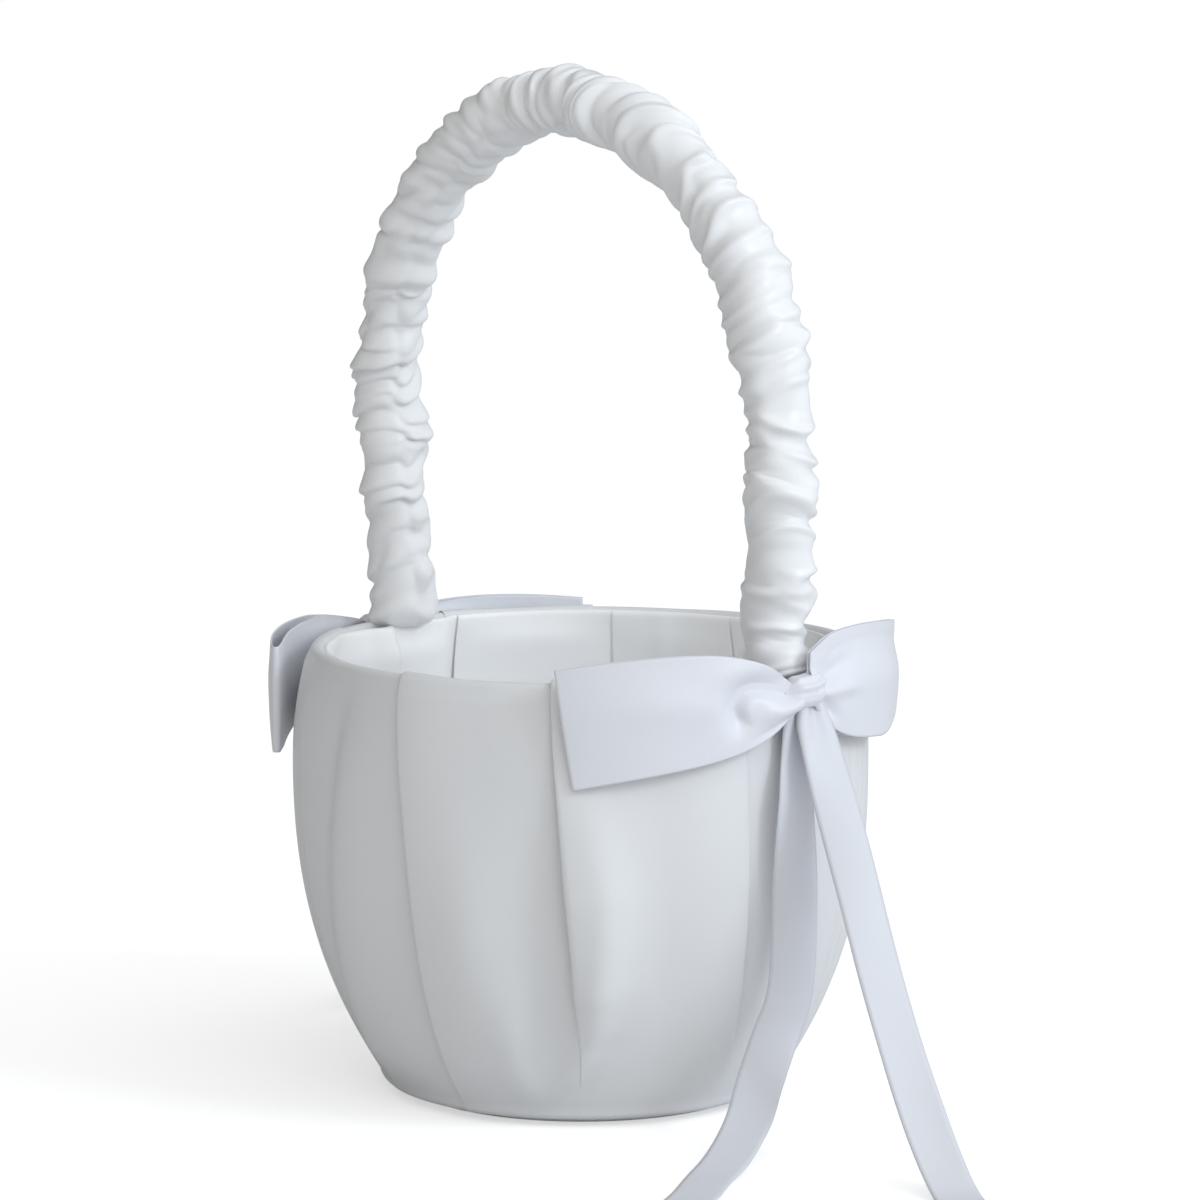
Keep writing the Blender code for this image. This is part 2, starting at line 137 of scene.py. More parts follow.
def smooth_path(points, count):
    """Points at even spacing on a Catmull-Rom curve through the given ones."""
    points = np.asarray(points, float)
    padded = np.vstack([points[:1], points, points[-1:]])
    fine = []
    for a, b, c, d in zip(padded, padded[1:], padded[2:], padded[3:]):
        for t in np.arange(12) / 12:
            fine.append(0.5 * (2 * b + (c - a) * t + (2 * a - 5 * b + 4 * c - d) * t**2
                               + (3 * b - a - 3 * c + d) * t**3))
    fine.append(points[-1])
    fine = np.array(fine)
    run = path_run(fine)
    at = np.linspace(0, run[-1], count)
    return np.stack([np.interp(at, run, fine[:, k]) for k in range(fine.shape[1])], axis=1)


def unit(vectors):
    return vectors / np.maximum(np.linalg.norm(vectors, axis=-1, keepdims=True), 1e-12)


def tangents(points):
    return unit(np.gradient(points, axis=0))


def round_z(reach, angle, level):
    """Points so far from the Z axis, at an angle round it and at a level."""
    return np.stack(np.broadcast_arrays(reach * np.cos(angle), reach * np.sin(angle), level), axis=-1)


def smooth_noise(shape, most_rows, most_columns, seed):
    """Soft noise on a wrapped grid, with at most so many waves each way, about 1 high."""
    wild = np.random.default_rng(seed).normal(size=shape)
    spectrum = np.fft.fft2(wild)
    rows = np.fft.fftfreq(shape[0])[:, None] * shape[0]
    columns = np.fft.fftfreq(shape[1])[None, :] * shape[1]
    keep = np.exp(-((rows / most_rows) ** 2 + (columns / most_columns) ** 2))
    soft = np.real(np.fft.ifft2(spectrum * keep))
    return soft / soft.std()


# ---------------------------------------------------------------- meshes

def grid_object(name, points, look, uv, wrap=False):
    """A skin over points (rows, columns, 3). uv is in metres. It has one more column if the grid wraps."""
    rows, columns = points.shape[:2]
    index = np.arange(rows * columns).reshape(rows, columns)
    if wrap:
        index = np.concatenate([index, index[:, :1]], axis=1)
    a, b = index[:-1, :-1], index[:-1, 1:]
    c, d = index[1:, 1:], index[1:, :-1]
    faces = np.stack([a, b, c, d], axis=-1).reshape(-1, 4)
    mesh = bpy.data.meshes.new(name)
    mesh.from_pydata(points.reshape(-1, 3).tolist(), [], faces.tolist())
    layer = mesh.uv_layers.new(name="UVMap")
    corners = np.stack([uv[:-1, :-1], uv[:-1, 1:], uv[1:, 1:], uv[1:, :-1]], axis=2)
    layer.data.foreach_set("uv", corners.reshape(-1).astype(np.float32))
    mesh.shade_smooth()
    mesh.materials.append(look)
    obj = bpy.data.objects.new(name, mesh)
    bpy.context.scene.collection.objects.link(obj)
    return obj


def grid_uv(across, up):
    """UV of a grid, from each column's place across and each row's place up."""
    return np.stack(np.broadcast_arrays(across[None, :], up[:, None]), axis=-1)


def add_thickness(obj, thickness, offset=0.0):
    skin = obj.modifiers.new("thickness", "SOLIDIFY")
    skin.thickness = thickness
    skin.offset = offset
    skin.use_even_offset = False
    apply_modifiers(obj)


def apply_modifiers(obj):
    """Puts the object's evaluated mesh in place of its own."""
    graph = bpy.context.evaluated_depsgraph_get()
    made = bpy.data.meshes.new_from_object(obj.evaluated_get(graph), depsgraph=graph)
    obj.modifiers.clear()
    old = obj.data
    obj.data = made
    made.name = obj.name
    bpy.data.meshes.remove(old)


# ---------------------------------------------------------------- materials

def add_node(tree, kind, inputs=(), **settings):
    """A new node. inputs are its sockets' values, or the sockets that feed them."""
    node = tree.nodes.new(kind)
    for key, value in settings.items():
        setattr(node, key, value)
    for key, value in dict(inputs).items():
        if isinstance(value, bpy.types.NodeSocket):
            tree.links.new(value, node.inputs[key])
        else:
            node.inputs[key].default_value = value
    return node


# A wave texture of scale 1 has one stripe in this many metres.
WAVE_STRIPE = 0.31416


class Nodes:
    """Adds nodes to a material and links them."""

    def __init__(self, name):
        self.material = bpy.data.materials.new(name)
        self.material.use_nodes = True
        self.tree = self.material.node_tree
        self.shader = self.tree.nodes["Principled BSDF"]
        self.add = functools.partial(add_node, self.tree)

    def math(self, operation, first, second):
        return self.add("ShaderNodeMath", {0: first, 1: second}, operation=operation).outputs[0]

    def wave(self, vector, pitch, direction, wander=0.0):
        """Stripes this far apart."""
        return self.add("ShaderNodeTexWave", {
            "Vector": vector, "Scale": WAVE_STRIPE / pitch, "Distortion": wander, "Detail": 1.0,
        }, bands_direction=direction).outputs["Fac"]

    def noise(self, vector, scale, detail=2.0, roughness=0.5):
        return self.add("ShaderNodeTexNoise", {
            "Vector": vector, "Scale": scale, "Detail": detail, "Roughness": roughness,
        }).outputs["Fac"]

    def stretched(self, vector, across, along):
        scale = (across, along, 1.0)
        return self.add("ShaderNodeMapping", {"Vector": vector, "Scale": scale}).outputs["Vector"]

    def blend(self, share, first, second):
        inputs = {0: share, 6: (*first, 1.0), 7: (*second, 1.0)}
        return self.add("ShaderNodeMix", inputs, data_type="RGBA").outputs[2]

    def link(self, value, key):
        self.tree.links.new(value, self.shader.inputs[key])

    def ranged(self, value, low, high):
        inputs = {"Value": value, "To Min": low, "To Max": high}
        return self.add("ShaderNodeMapRange", inputs).outputs["Result"]

    def relief(self, height, strength, depth):
        """Bump this many metres deep."""
        bump = self.add("ShaderNodeBump", {"Height": height, "Strength": strength, "Distance": depth})
        self.link(bump.outputs["Normal"], "Normal")

    def set(self, **values):
        """Sets the shader's own sockets. Their names are written with _ for a space."""
        for key, value in values.items():
            self.shader.inputs[key.replace("_", " ")].default_value = value


WARP_PITCH = 0.00022
WEFT_PITCH = 0.00034
SELVEDGE_WIDTH = 0.00045
SATIN_RELIEF = 0.00002
MOULDED_RELIEF = 0.00003
THREAD_PITCH = 0.0004
THREAD_RELIEF = 0.0001


def satin(name, light, shade, roughness, edge=None):
    """White satin with long floats, a faint slub and an uneven gloss. edge is half a ribbon's width."""
    nodes = Nodes(name)
    place = nodes.add("ShaderNodeTexCoord")
    uv = place.outputs["UV"]
    warp = nodes.wave(uv, WARP_PITCH, "X", 0.6)
    weft = nodes.wave(uv, WEFT_PITCH, "Y", 0.9)
    threads = nodes.math("MULTIPLY", warp, weft)
    slub = nodes.noise(nodes.stretched(uv, 2600.0, 160.0), 1.0, 3.0)
    cloud = nodes.noise(place.outputs["Object"], 26.0, 3.0, 0.6)
    tint = nodes.math("ADD", nodes.math("MULTIPLY", slub, 0.35), nodes.math("MULTIPLY", cloud, 0.65))
    nodes.link(nodes.blend(tint, shade, light), "Base Color")
    nodes.link(nodes.ranged(cloud, roughness - 0.05, roughness + 0.05), "Roughness")
    height = nodes.math("ADD", threads, nodes.math("MULTIPLY", slub, 0.8))
    if edge is not None:
        # The woven edge of a ribbon stands a little proud of it.
        away = nodes.math("ABSOLUTE", nodes.add("ShaderNodeSeparateXYZ", {0: uv}).outputs["X"], 0.0)
        selvedge = nodes.math("GREATER_THAN", away, edge - SELVEDGE_WIDTH)
        height = nodes.math("ADD", height, nodes.math("MULTIPLY", selvedge, 3.0))
    nodes.relief(height, 0.5, SATIN_RELIEF)
    nodes.set(Sheen_Weight=0.25, Sheen_Roughness=0.35, Specular_IOR_Level=0.42)
    return nodes.material


def moulded(name, light, shade, roughness, metallic=0.0, grain=900.0):
    """Plastic or metal with a fine grain and slight colour changes."""
    nodes = Nodes(name)
    place = nodes.add("ShaderNodeTexCoord").outputs["Object"]
    fine = nodes.noise(place, grain, 3.0)
    cloud = nodes.noise(place, 45.0, 3.0)
    nodes.link(nodes.blend(cloud, shade, light), "Base Color")
    nodes.link(nodes.ranged(fine, roughness - 0.06, roughness + 0.08), "Roughness")
    nodes.relief(fine, 0.4, MOULDED_RELIEF)
    nodes.set(Metallic=metallic)
    return nodes.material


def thread_look(name):
    """Twisted sewing thread. Its twist's grooves are painted darker, as painted shade, along the same stripes
    as its bump.
    """
    nodes = Nodes(name)
    place = nodes.add("ShaderNodeTexCoord").outputs["Object"]
    twist = nodes.wave(place, THREAD_PITCH, "DIAGONAL", 0.4)
    nodes.link(nodes.blend(twist, (0.74, 0.74, 0.76), (0.90, 0.90, 0.91)), "Base Color")
    nodes.relief(twist, 0.6, THREAD_RELIEF)
    nodes.set(Roughness=0.7, Sheen_Weight=0.3)
    return nodes.material


# All these satins are the same white cloth, but their colours differ to suit the light: the lining's is made
# lighter, as a painted sheen, and the others darker, as painted shade, the narrow tails' most.
COVER_SATIN = satin("cover_satin", (0.785, 0.79, 0.805), (0.73, 0.735, 0.755), 0.42)
LINING_SATIN = satin("lining_satin", (0.96, 0.962, 0.97), (0.945, 0.95, 0.96), 0.44)
SLEEVE_SATIN = satin("sleeve_satin", (0.885, 0.89, 0.905), (0.83, 0.835, 0.855), 0.32)
LOOP_SATIN = satin("ribbon_satin_wide", (0.775, 0.785, 0.84), (0.735, 0.745, 0.80), 0.34, LOOP_HALF_RIBBON)
TAIL_SATIN = satin("ribbon_satin_narrow", (0.70, 0.71, 0.76), (0.66, 0.67, 0.72), 0.42, TAIL_HALF_RIBBON)
BUCKET_PLASTIC = moulded("bucket_plastic", (0.80, 0.80, 0.78), (0.76, 0.76, 0.74), 0.55)
HANDLE_PLASTIC = moulded("handle_plastic", (0.78, 0.78, 0.76), (0.73, 0.73, 0.71), 0.50)
RIVET_METAL = moulded("rivet_aluminium", (0.74, 0.75, 0.77), (0.66, 0.67, 0.70), 0.36, 1.0, 1600.0)
THREAD = thread_look("white_thread")


# ---------------------------------------------------------------- pleated cloth

class Pleat:
    """A knife pleat. bearings say where its fold edge stands at BEARING_HEIGHTS, in degrees, and steps how
    high it is at STEP_HEIGHTS, in mm. tuck is how far it folds under, in mm. hand 1 has the right panel on
    top, with the edge facing left, and -1 the left one."""

    def __init__(self, bearings, steps, tuck=3.5, hand=1):
        self.bearings = bearings
        self.steps = steps
        self.tuck = tuck
        self.hand = hand

    def bearing(self, heights):
        curve = np.polyfit(BEARING_HEIGHTS, self.bearings, 3)
        return np.polyval(curve, np.clip(heights, 0.0, RIM_HEIGHT))

    def step(self, heights):
        return np.interp(heights, STEP_HEIGHTS, self.steps) * MM


BEARING_HEIGHTS = (0.0, 0.032, 0.065, 0.100)
STEP_HEIGHTS = (0.0, 0.010, 0.021, 0.034, 0.055, 0.078, 0.100)
# Columns of the connector at a pleat: along in tucks, along in hairpin radii, height in steps.
CONNECTOR = (
    (0.00, 0.0, 0.00), (0.33, 0.0, 0.00), (0.67, 0.0, 0.00), (1.00, 0.0, 0.00),
    (1.00, 0.7, 0.07), (1.00, 1.0, 0.25), (1.00, 0.7, 0.43),
    (1.00, 0.0, 0.50), (0.67, 0.0, 0.50), (0.33, 0.0, 0.50), (0.05, 0.0, 0.50),
    (0.00, -0.5, 0.53), (0.00, -0.87, 0.62), (0.00, -1.0, 0.75), (0.00, -0.87, 0.88), (0.00, -0.5, 0.97),
)
HAIRPIN_RADIUS = 0.32
LEAST_FOLD = 1.0 * MM
UNFOLDED_WIDTH = 0.3 * MM
PANEL_COLUMNS = 34
FIRST_COLUMN_INSET = 0.35
COLUMN_INSET = 0.5


def pleated_section(pleats, heights, radii, soft, fade=0.55):
    """(bearing, offset) of every column at every row. soft(bearing, height) adds the panels' own soft folds.
    A tuck gets narrower where the pleat's step is under LEAST_FOLD."""
    bearings, offsets = [], []
    count = len(pleats)
    place = [pleat.bearing(heights) for pleat in pleats]
    for k, pleat in enumerate(pleats):
        after = pleats[(k + 1) % count]
        start = place[k]
        end = place[(k + 1) % count] + (360.0 if k == count - 1 else 0.0)
        lift = pleat.step(heights)
        # The connector at this pleat.
        columns = CONNECTOR if pleat.hand > 0 else tuple(reversed(CONNECTOR))
        folded = np.clip(lift / LEAST_FOLD, 0, 1)
        for number, (tucks, hairpins, rise) in enumerate(columns):
            along = pleat.hand * (tucks * pleat.tuck * MM * folded + hairpins * lift * HAIRPIN_RADIUS)
            along = along + (1 - folded) * UNFOLDED_WIDTH * number / (len(columns) - 1)
            bearing = start + np.degrees(along / radii)
            bearings.append(bearing)
            offsets.append(soft(bearing, heights) + rise * lift)
        # The panel from this pleat to the next one.
        start_lift = lift if pleat.hand > 0 else 0 * lift
        next_lift = after.step(heights)
        end_lift = next_lift if after.hand < 0 else 0 * next_lift
        for i in range(PANEL_COLUMNS):
            share = (i + (FIRST_COLUMN_INSET if i == 0 else COLUMN_INSET)) / PANEL_COLUMNS
            bearing = start + (end - start) * share
            level = start_lift * (1 - ease(share / fade)) + end_lift * ease((share - 1 + fade) / fade)
            bearings.append(bearing)
            offsets.append(soft(bearing, heights) + level)
    return np.array(bearings).T, np.array(offsets).T


def profile_normals(radii, heights):
    """Outward unit normals of a profile that runs from under the base up the wall."""
    along = unit(np.stack([np.gradient(radii), np.gradient(heights)], axis=1))
    return along[:, 1], -along[:, 0]


def swept(bearings, offsets, radii, heights):
    """Points of a grid whose rows follow a profile, pushed out along the profile's normals."""
    normal_r, normal_z = profile_normals(radii, heights)
    reach = radii[:, None] + offsets * normal_r[:, None]
    level = heights[:, None] + offsets * normal_z[:, None]
    return round_z(reach, np.radians(bearings), level)


def wrapped_uv(points, profile):
    """UV in metres for a grid that wraps: across is the run along the middle row, up is the profile's run."""
    middle = points[len(points) // 2]
    return grid_uv(path_run(np.concatenate([middle, middle[:1]])), path_run(profile))


COVER_PLEATS = (
    Pleat((-156, -157, -158, -159), (0.2, 0.5, 0.8, 1.0, 1.0, 0.8, 0.6)),
    Pleat((-116, -118, -120, -121), (0.2, 0.5, 0.9, 1.1, 1.0, 0.8, 0.6)),
    Pleat((-82, -81.4, -82.7, -87), (0.9, 1.5, 1.9, 2.0, 1.7, 1.3, 0.9)),
    Pleat((-49.4, -48.5, -51, -53.7), (0.0, 0.0, 0.3, 3.2, 3.7, 1.9, 1.2), tuck=5.0),
    Pleat((-8, -13.6, -15, -17), (0.4, 0.9, 1.3, 1.4, 1.2, 1.0, 0.8), hand=-1),
    Pleat((24, 22, 21, 20), (0.2, 0.3, 0.4, 0.4, 0.4, 0.4, 0.4), hand=-1),
    Pleat((60, 58, 57, 56), (0.2, 0.5, 0.9, 1.2, 1.2, 0.8, 0.6)),
    Pleat((95, 94, 93, 92), (0.3, 0.7, 1.1, 1.3, 1.1, 0.8, 0.6)),
    Pleat((128, 129, 129, 130), (0.1, 0.5, 1.6, 2.2, 1.8, 0.8, 0.6), tuck=4.5),
    Pleat((165, 164, 165, 166), (0.2, 0.6, 0.9, 1.0, 0.9, 0.6, 0.5), hand=-1),
)
# The soft ridge beside the deep pleat, which sweeps under the pleat's end: heights, bearings, mm high.
SWEEP_HEIGHTS = (0.0, 0.006, 0.012, 0.018, 0.025, 0.035, 0.045, 0.055, 0.070, 0.085)
SWEEP_BEARINGS = (-60, -56, -51.5, -48, -45.6, -44, -43, -43, -45.5, -48)
SWEEP_LIFTS = (0.0, 0.9, 1.9, 2.5, 2.8, 2.7, 2.2, 1.5, 0.7, 0.0)
SWEEP_WIDTH = 4.3
# Soft humps and hollows by the deep pleat: mm high, bearing and width in degrees, height and width.
COVER_HUMPS = (
    (2.6, -69, 8.5, 0.040, 0.030),
    (-0.3, -56, 3.8, 0.040, 0.030),
    (1.6, -63, 5.0, 0.020, 0.014),
    (1.0, -59, 6.0, 0.007, 0.005),
    (-0.3, -53, 3.2, 0.0215, 0.0080),
)
# Waves all round the cover: mm high, how many, phase, and how it shifts with height.
COVER_WAVES = ((0.20, 3, 0.6, 22), (0.20, 7, 2.1, -31), (0.12, 13, 4.0, 40))
LINING_WAVES = ((0.12, 5, 0.3, 30), (0.12, 9, 1.1, -40))


def waves_round(bearing, height, waves):
    turn = np.radians(bearing)
    return sum(high * MM * np.sin(count * turn + phase + shift * height)
               for high, count, phase, shift in waves)


def cover_soft(bearing, height):
    """The soft folds of the cover's panels."""
    held = ease(height / 0.012) * ease((RIM_HEIGHT - height) / 0.03)
    up = np.clip(height / RIM_HEIGHT, 0, 1)
    past_ridge = bearing + 114 - 14 * up
    left_ridge = 1.6 * MM * np.tanh(past_ridge / 2.0) * bell(past_ridge, 3, 11)
    sweep = np.interp(height, SWEEP_HEIGHTS, SWEEP_LIFTS) * MM
    sweep = sweep * bell(bearing, np.interp(height, SWEEP_HEIGHTS, SWEEP_BEARINGS), SWEEP_WIDTH)
    humps = sum(high * MM * bell(bearing, at, width) * bell(height, level, spread)
                for high, at, width, level, spread in COVER_HUMPS)
    flutes = 0.32 * MM * np.sin(np.radians(bearing * 78)) * bell(bearing, 21, 9.0)
    fan = 0.25 * MM * np.sin(np.radians(bearing * 40 + 900 * height)) * bell(bearing, 150, 26.0)
    return (waves_round(bearing, height, COVER_WAVES) + left_ridge + sweep + humps + flutes + fan) * held


COVER_WALL_ROWS = 74


def cover_profile():
    """Rows from the hem under the base to the lip inside the rim: radius, height, share of the offset."""
    rows = []
    foot = float(body_radius(HEM_BOTTOM + BASE_CORNER))
    for share in np.linspace(0, 1, 6):
        rows.append((HEM_RADIUS + (foot - BASE_CORNER - HEM_RADIUS) * share, HEM_BOTTOM, 0.03 + 0.07 * share))
    for turn in np.linspace(0, 1, 7)[1:-1]:
        angle = turn * math.pi / 2 * 0.92
        rows.append((foot - BASE_CORNER + BASE_CORNER * math.sin(angle),
                     HEM_BOTTOM + BASE_CORNER * (1 - math.cos(angle)), 0.1 + 0.3 * turn))
    wall_foot = HEM_BOTTOM + BASE_CORNER
    for height in np.linspace(wall_foot, RIM_HEIGHT - 2 * RIM_ROUND, COVER_WALL_ROWS):
        rows.append((float(body_radius(height)), height, min(1.0, 0.4 + 60 * (height - wall_foot))))
    for turn in np.linspace(0, 1, 9)[1:]:
        angle = turn * math.pi / 2
        rows.append((RIM_RADIUS - RIM_ROUND * (1 - math.cos(angle)),
                     RIM_HEIGHT - RIM_ROUND + RIM_ROUND * math.sin(angle), 1.0 - 0.3 * turn))
    wide = LIP_FACE - RIM_ROUND
    for turn in np.linspace(0, 1, 8)[1:]:
        angle = turn * math.pi / 2
        rows.append((RIM_RADIUS - LIP_FACE + wide * (1 - math.sin(angle)),
                     RIM_HEIGHT - wide * (1 - math.cos(angle)), 0.6 - 0.4 * turn))
    for height in np.linspace(RIM_HEIGHT - 0.003, LIP_BOTTOM, 5):
        rows.append((float(body_radius(height)) - LIP_FACE, height, 0.15))
    return np.array(rows)


def build_cover():
    radii, heights, share = cover_profile().T
    bearings, offsets = pleated_section(COVER_PLEATS, heights, radii, cover_soft)
    points = swept(bearings, offsets * share[:, None], radii, heights)
    uv = wrapped_uv(points, np.stack([radii, 0 * radii, heights], axis=1))
    return grid_object("pleated_cover", points, COVER_SATIN, uv, wrap=True)


LINING_STEP_SHARES = (0.7, 0.8, 1.0, 1.0, 1.0, 1.0, 0.3)
LINING_PLEATS = tuple(
    Pleat((bearing,) * 4, [step * share for share in LINING_STEP_SHARES], tuck=3.0, hand=hand)
    for bearing, step, hand in ((-150, 0.6, 1), (-115, 0.6, 1), (-80, 0.6, -1), (-45, 0.6, 1), (-12, 0.6, -1),
                                (25, 0.6, 1), (60, 0.9, -1), (95, 0.8, 1), (125, 0.8, -1), (163, 1.3, -1))
)
# How far the lining is drawn from the round towards the straight line between two pleats.
LINING_FLATNESS = 0.7
LINING_REACH = RIM_RADIUS - LINING_FACE


def foot_bulge(bearing):
    """How far the lining stands in where it passes over a handle foot."""
    side = np.abs(np.remainder(np.radians(bearing) + math.pi / 2, math.pi) - math.pi / 2) * LINING_REACH
    return FOOT_BULGE * ease(1.0 - (side - FOOT_BULGE_HALF_WIDTH) / FOOT_BULGE_FADE)


def flat_panels(bearing, height):
    """How far the lining stands in where it is drawn straight from one pleat to the next, in metres."""
    edges = np.array([pleat.bearings[0] for pleat in LINING_PLEATS])
    edges = np.append(edges, edges[0] + 360.0)
    turn = edges[0] + np.remainder(bearing - edges[0], 360.0)
    panel = np.clip(np.searchsorted(edges, turn, side="right") - 1, 0, len(edges) - 2)
    half = np.radians(edges[panel + 1] - edges[panel]) / 2
    from_middle = np.clip(np.abs(np.radians(turn - edges[panel]) - half), 0, half)
    chord = LINING_REACH * (1 - np.cos(half) / np.cos(from_middle))
    held = ease((RIM_HEIGHT - 0.0010 - height) / 0.007) * ease((height - 0.010) / 0.020)
    return LINING_FLATNESS * chord * held


def lining_soft(bearing, height):
    """The lining's own soft folds, standing in from its round."""
    crease = 0.3 * MM * bell(bearing, 113, 2.5)
    # Beside the foot at -X the lining is caught in a flap and a few soft folds.
    from_x = np.remainder(bearing, 360.0)
    flap = 1.8 * MM * ease((from_x - 187) / 1.5) * (1 - ease((from_x - 189) / 18))
    folds = 0.35 * MM * np.sin(np.radians(24 * from_x + 900 * (RIM_HEIGHT - height))) * bell(from_x, 205, 14)
    caught = (flap + folds) * ease((height - 0.045) / 0.04)
    wander = waves_round(bearing, height, LINING_WAVES) + 0.2 * MM
    return wander + crease + flat_panels(bearing, height) + caught


def build_lining():
    """The lining, from its tucked top edge to the turn at the floor. Its rows are: how far out, height."""
    rows = [(0.0012, LINING_TOP - 0.0030), (0.0012, LINING_TOP - 0.0009), (0.0010, LINING_TOP - 0.0003),
            (0.0006, LINING_TOP), (0.0002, LINING_TOP - 0.0004)]
    rows += [(0.0, height) for height in np.linspace(LINING_TOP - 0.0012, LINING_BOTTOM + 0.002, 52)]
    rows += [(0.0004, LINING_BOTTOM + 0.0007), (0.0012, LINING_BOTTOM + 0.0001)]
    out, heights = np.array(rows).T
    shown = np.clip(1 - out / 0.0007, 0, 1)
    radii = body_radius(heights) - LINING_FACE
    bearings, offsets = pleated_section(LINING_PLEATS, heights, radii, lining_soft)
    reach = (radii + out)[:, None] - offsets * (0.2 + 0.8 * shown[:, None]) - foot_bulge(bearings)
    points = round_z(reach, np.radians(bearings), heights[:, None])[::-1]
    uv = wrapped_uv(points, np.stack([radii, 0 * radii, heights], axis=1)[::-1])
    return grid_object("pleated_lining", points, LINING_SATIN, uv, wrap=True)


DISC_COLUMNS = 144
DISC_EDGE = 0.985


def build_disc(name, radius, bottom, top, crown, puckers, look, seed):
    """A satin covered disc: a soft crowned face, a rounded edge with small puckers, and a flat back."""
    thick = top - bottom
    rows = []
    for share in np.linspace(0.02, 1, 26):
        rows.append((radius * DISC_EDGE * share,
                     top - thick * 0.25 + crown * (1 - share**2) + thick * 0.25 * (1 - share**8)))
    for angle in np.linspace(0.25, 1, 5) * math.pi:
        rows.append((radius * DISC_EDGE + radius * (1 - DISC_EDGE) * math.sin(angle),
                     bottom + thick / 2 * (1 + math.cos(angle)) * 0.75))
    rows.append((radius * 0.02, bottom))
    rows = np.array(rows)
    grid = np.radians(np.broadcast_to(np.linspace(0, 360, DISC_COLUMNS + 1)[:-1], (len(rows), DISC_COLUMNS)))
    wave = smooth_noise((len(rows), DISC_COLUMNS), 3, 40, seed)
    lift = puckers * wave * ease((rows[:, :1] / radius - 0.7) / 0.25) * (rows[:, 1:] > bottom + thick * 0.4)
    level = rows[:, 1:] + np.clip(lift, -thick * 0.2, 0.00012)
    points = round_z(rows[:, :1], grid, level)
    flat = np.concatenate([points, points[:, :1]], axis=1)[..., :2]
    obj = grid_object(name, points, look, flat, wrap=True)
    close_holes(obj)
    return obj


def close_holes(obj):
    shell = bmesh.new()
    shell.from_mesh(obj.data)
    bmesh.ops.holes_fill(shell, edges=[edge for edge in shell.edges if edge.is_boundary])
    bmesh.ops.recalc_face_normals(shell, faces=shell.faces)
    shell.to_mesh(obj.data)
    shell.free()
    obj.data.shade_smooth()


# ---------------------------------------------------------------- handle sleeve

def arch_path():
    """Centre points of the handle as (x, z), from the foot at -X over the top to the foot at +X."""
    leg = []
    for height in np.linspace(STRIP_END_HEIGHT, RIM_HEIGHT, 8):
        leg.append((float(body_radius(height)) - FOOT_DEPTH - STRIP_THICK / 2, height))
    low = RIM_HEIGHT + ARCH_START
    for height in np.linspace(low, ARCH_SPRING_HEIGHT, 9)[:-1]:
        share = (ARCH_SPRING_HEIGHT - height) / (ARCH_SPRING_HEIGHT - RIM_HEIGHT)
        leg.append((ARCH_HALF_SPAN - ARCH_WAIST * share**ARCH_WAIST_CURVE, height))
    for angle in np.linspace(0, math.pi / 2, 13)[:-1]:
        leg.append((ARCH_HALF_SPAN * math.cos(angle), ARCH_SPRING_HEIGHT + ARCH_RISE * math.sin(angle)))
    leg = np.array(leg)
    points = np.vstack([leg * (-1, 1), [(0.0, ARCH_SPRING_HEIGHT + ARCH_RISE)], leg[::-1]])
    points[:, 0] -= ARCH_LEAN * np.clip(points[:, 1] - low, 0, None)
    return smooth_path(points, 400)


# The solver runs on a tube SIM_SCALE times its real size. GATHER is the cut tube's length over the handle's,
# and HOOP its girth over the one that it starts with.
SIM_SCALE = 20.0
SIM_RADIUS = 0.0064
SIM_ROWS = 360
SIM_SIDES = 36
SIM_FRAMES = 60
GATHER = 2.0
HOOP = 1.30
SIM_CORE_RADIUS = 0.0048
CLOTH_SETTINGS = {
    "quality": 8, "mass": 0.1,
    "tension_stiffness": 80, "compression_stiffness": 80, "shear_stiffness": 8, "bending_stiffness": 0.003,
    "tension_damping": 1, "compression_damping": 1, "shear_damping": 1, "bending_damping": 0.1,
    "air_damping": 2,
    "vertex_group_mass": "held", "pin_stiffness": 1.0, "use_pressure": True, "uniform_pressure_force": 0.05,
}


def fold_noise(rows, sides, seed, waves=42, spread=16, bend=1.0):
    """Noise for gathers: so many waves along the tube, each running slantwise round it."""
    wild = np.random.default_rng(seed).normal(size=(rows, sides))
    along = np.fft.fftfreq(rows)[:, None] * rows
    round_it = np.fft.fftfreq(sides)[None, :] * sides
    keep = bell(np.abs(along), waves, spread) * bell(round_it + np.sign(along), 0, bend)
    found = np.real(np.fft.ifft2(np.fft.fft2(wild) * keep))
    return found / found.std()


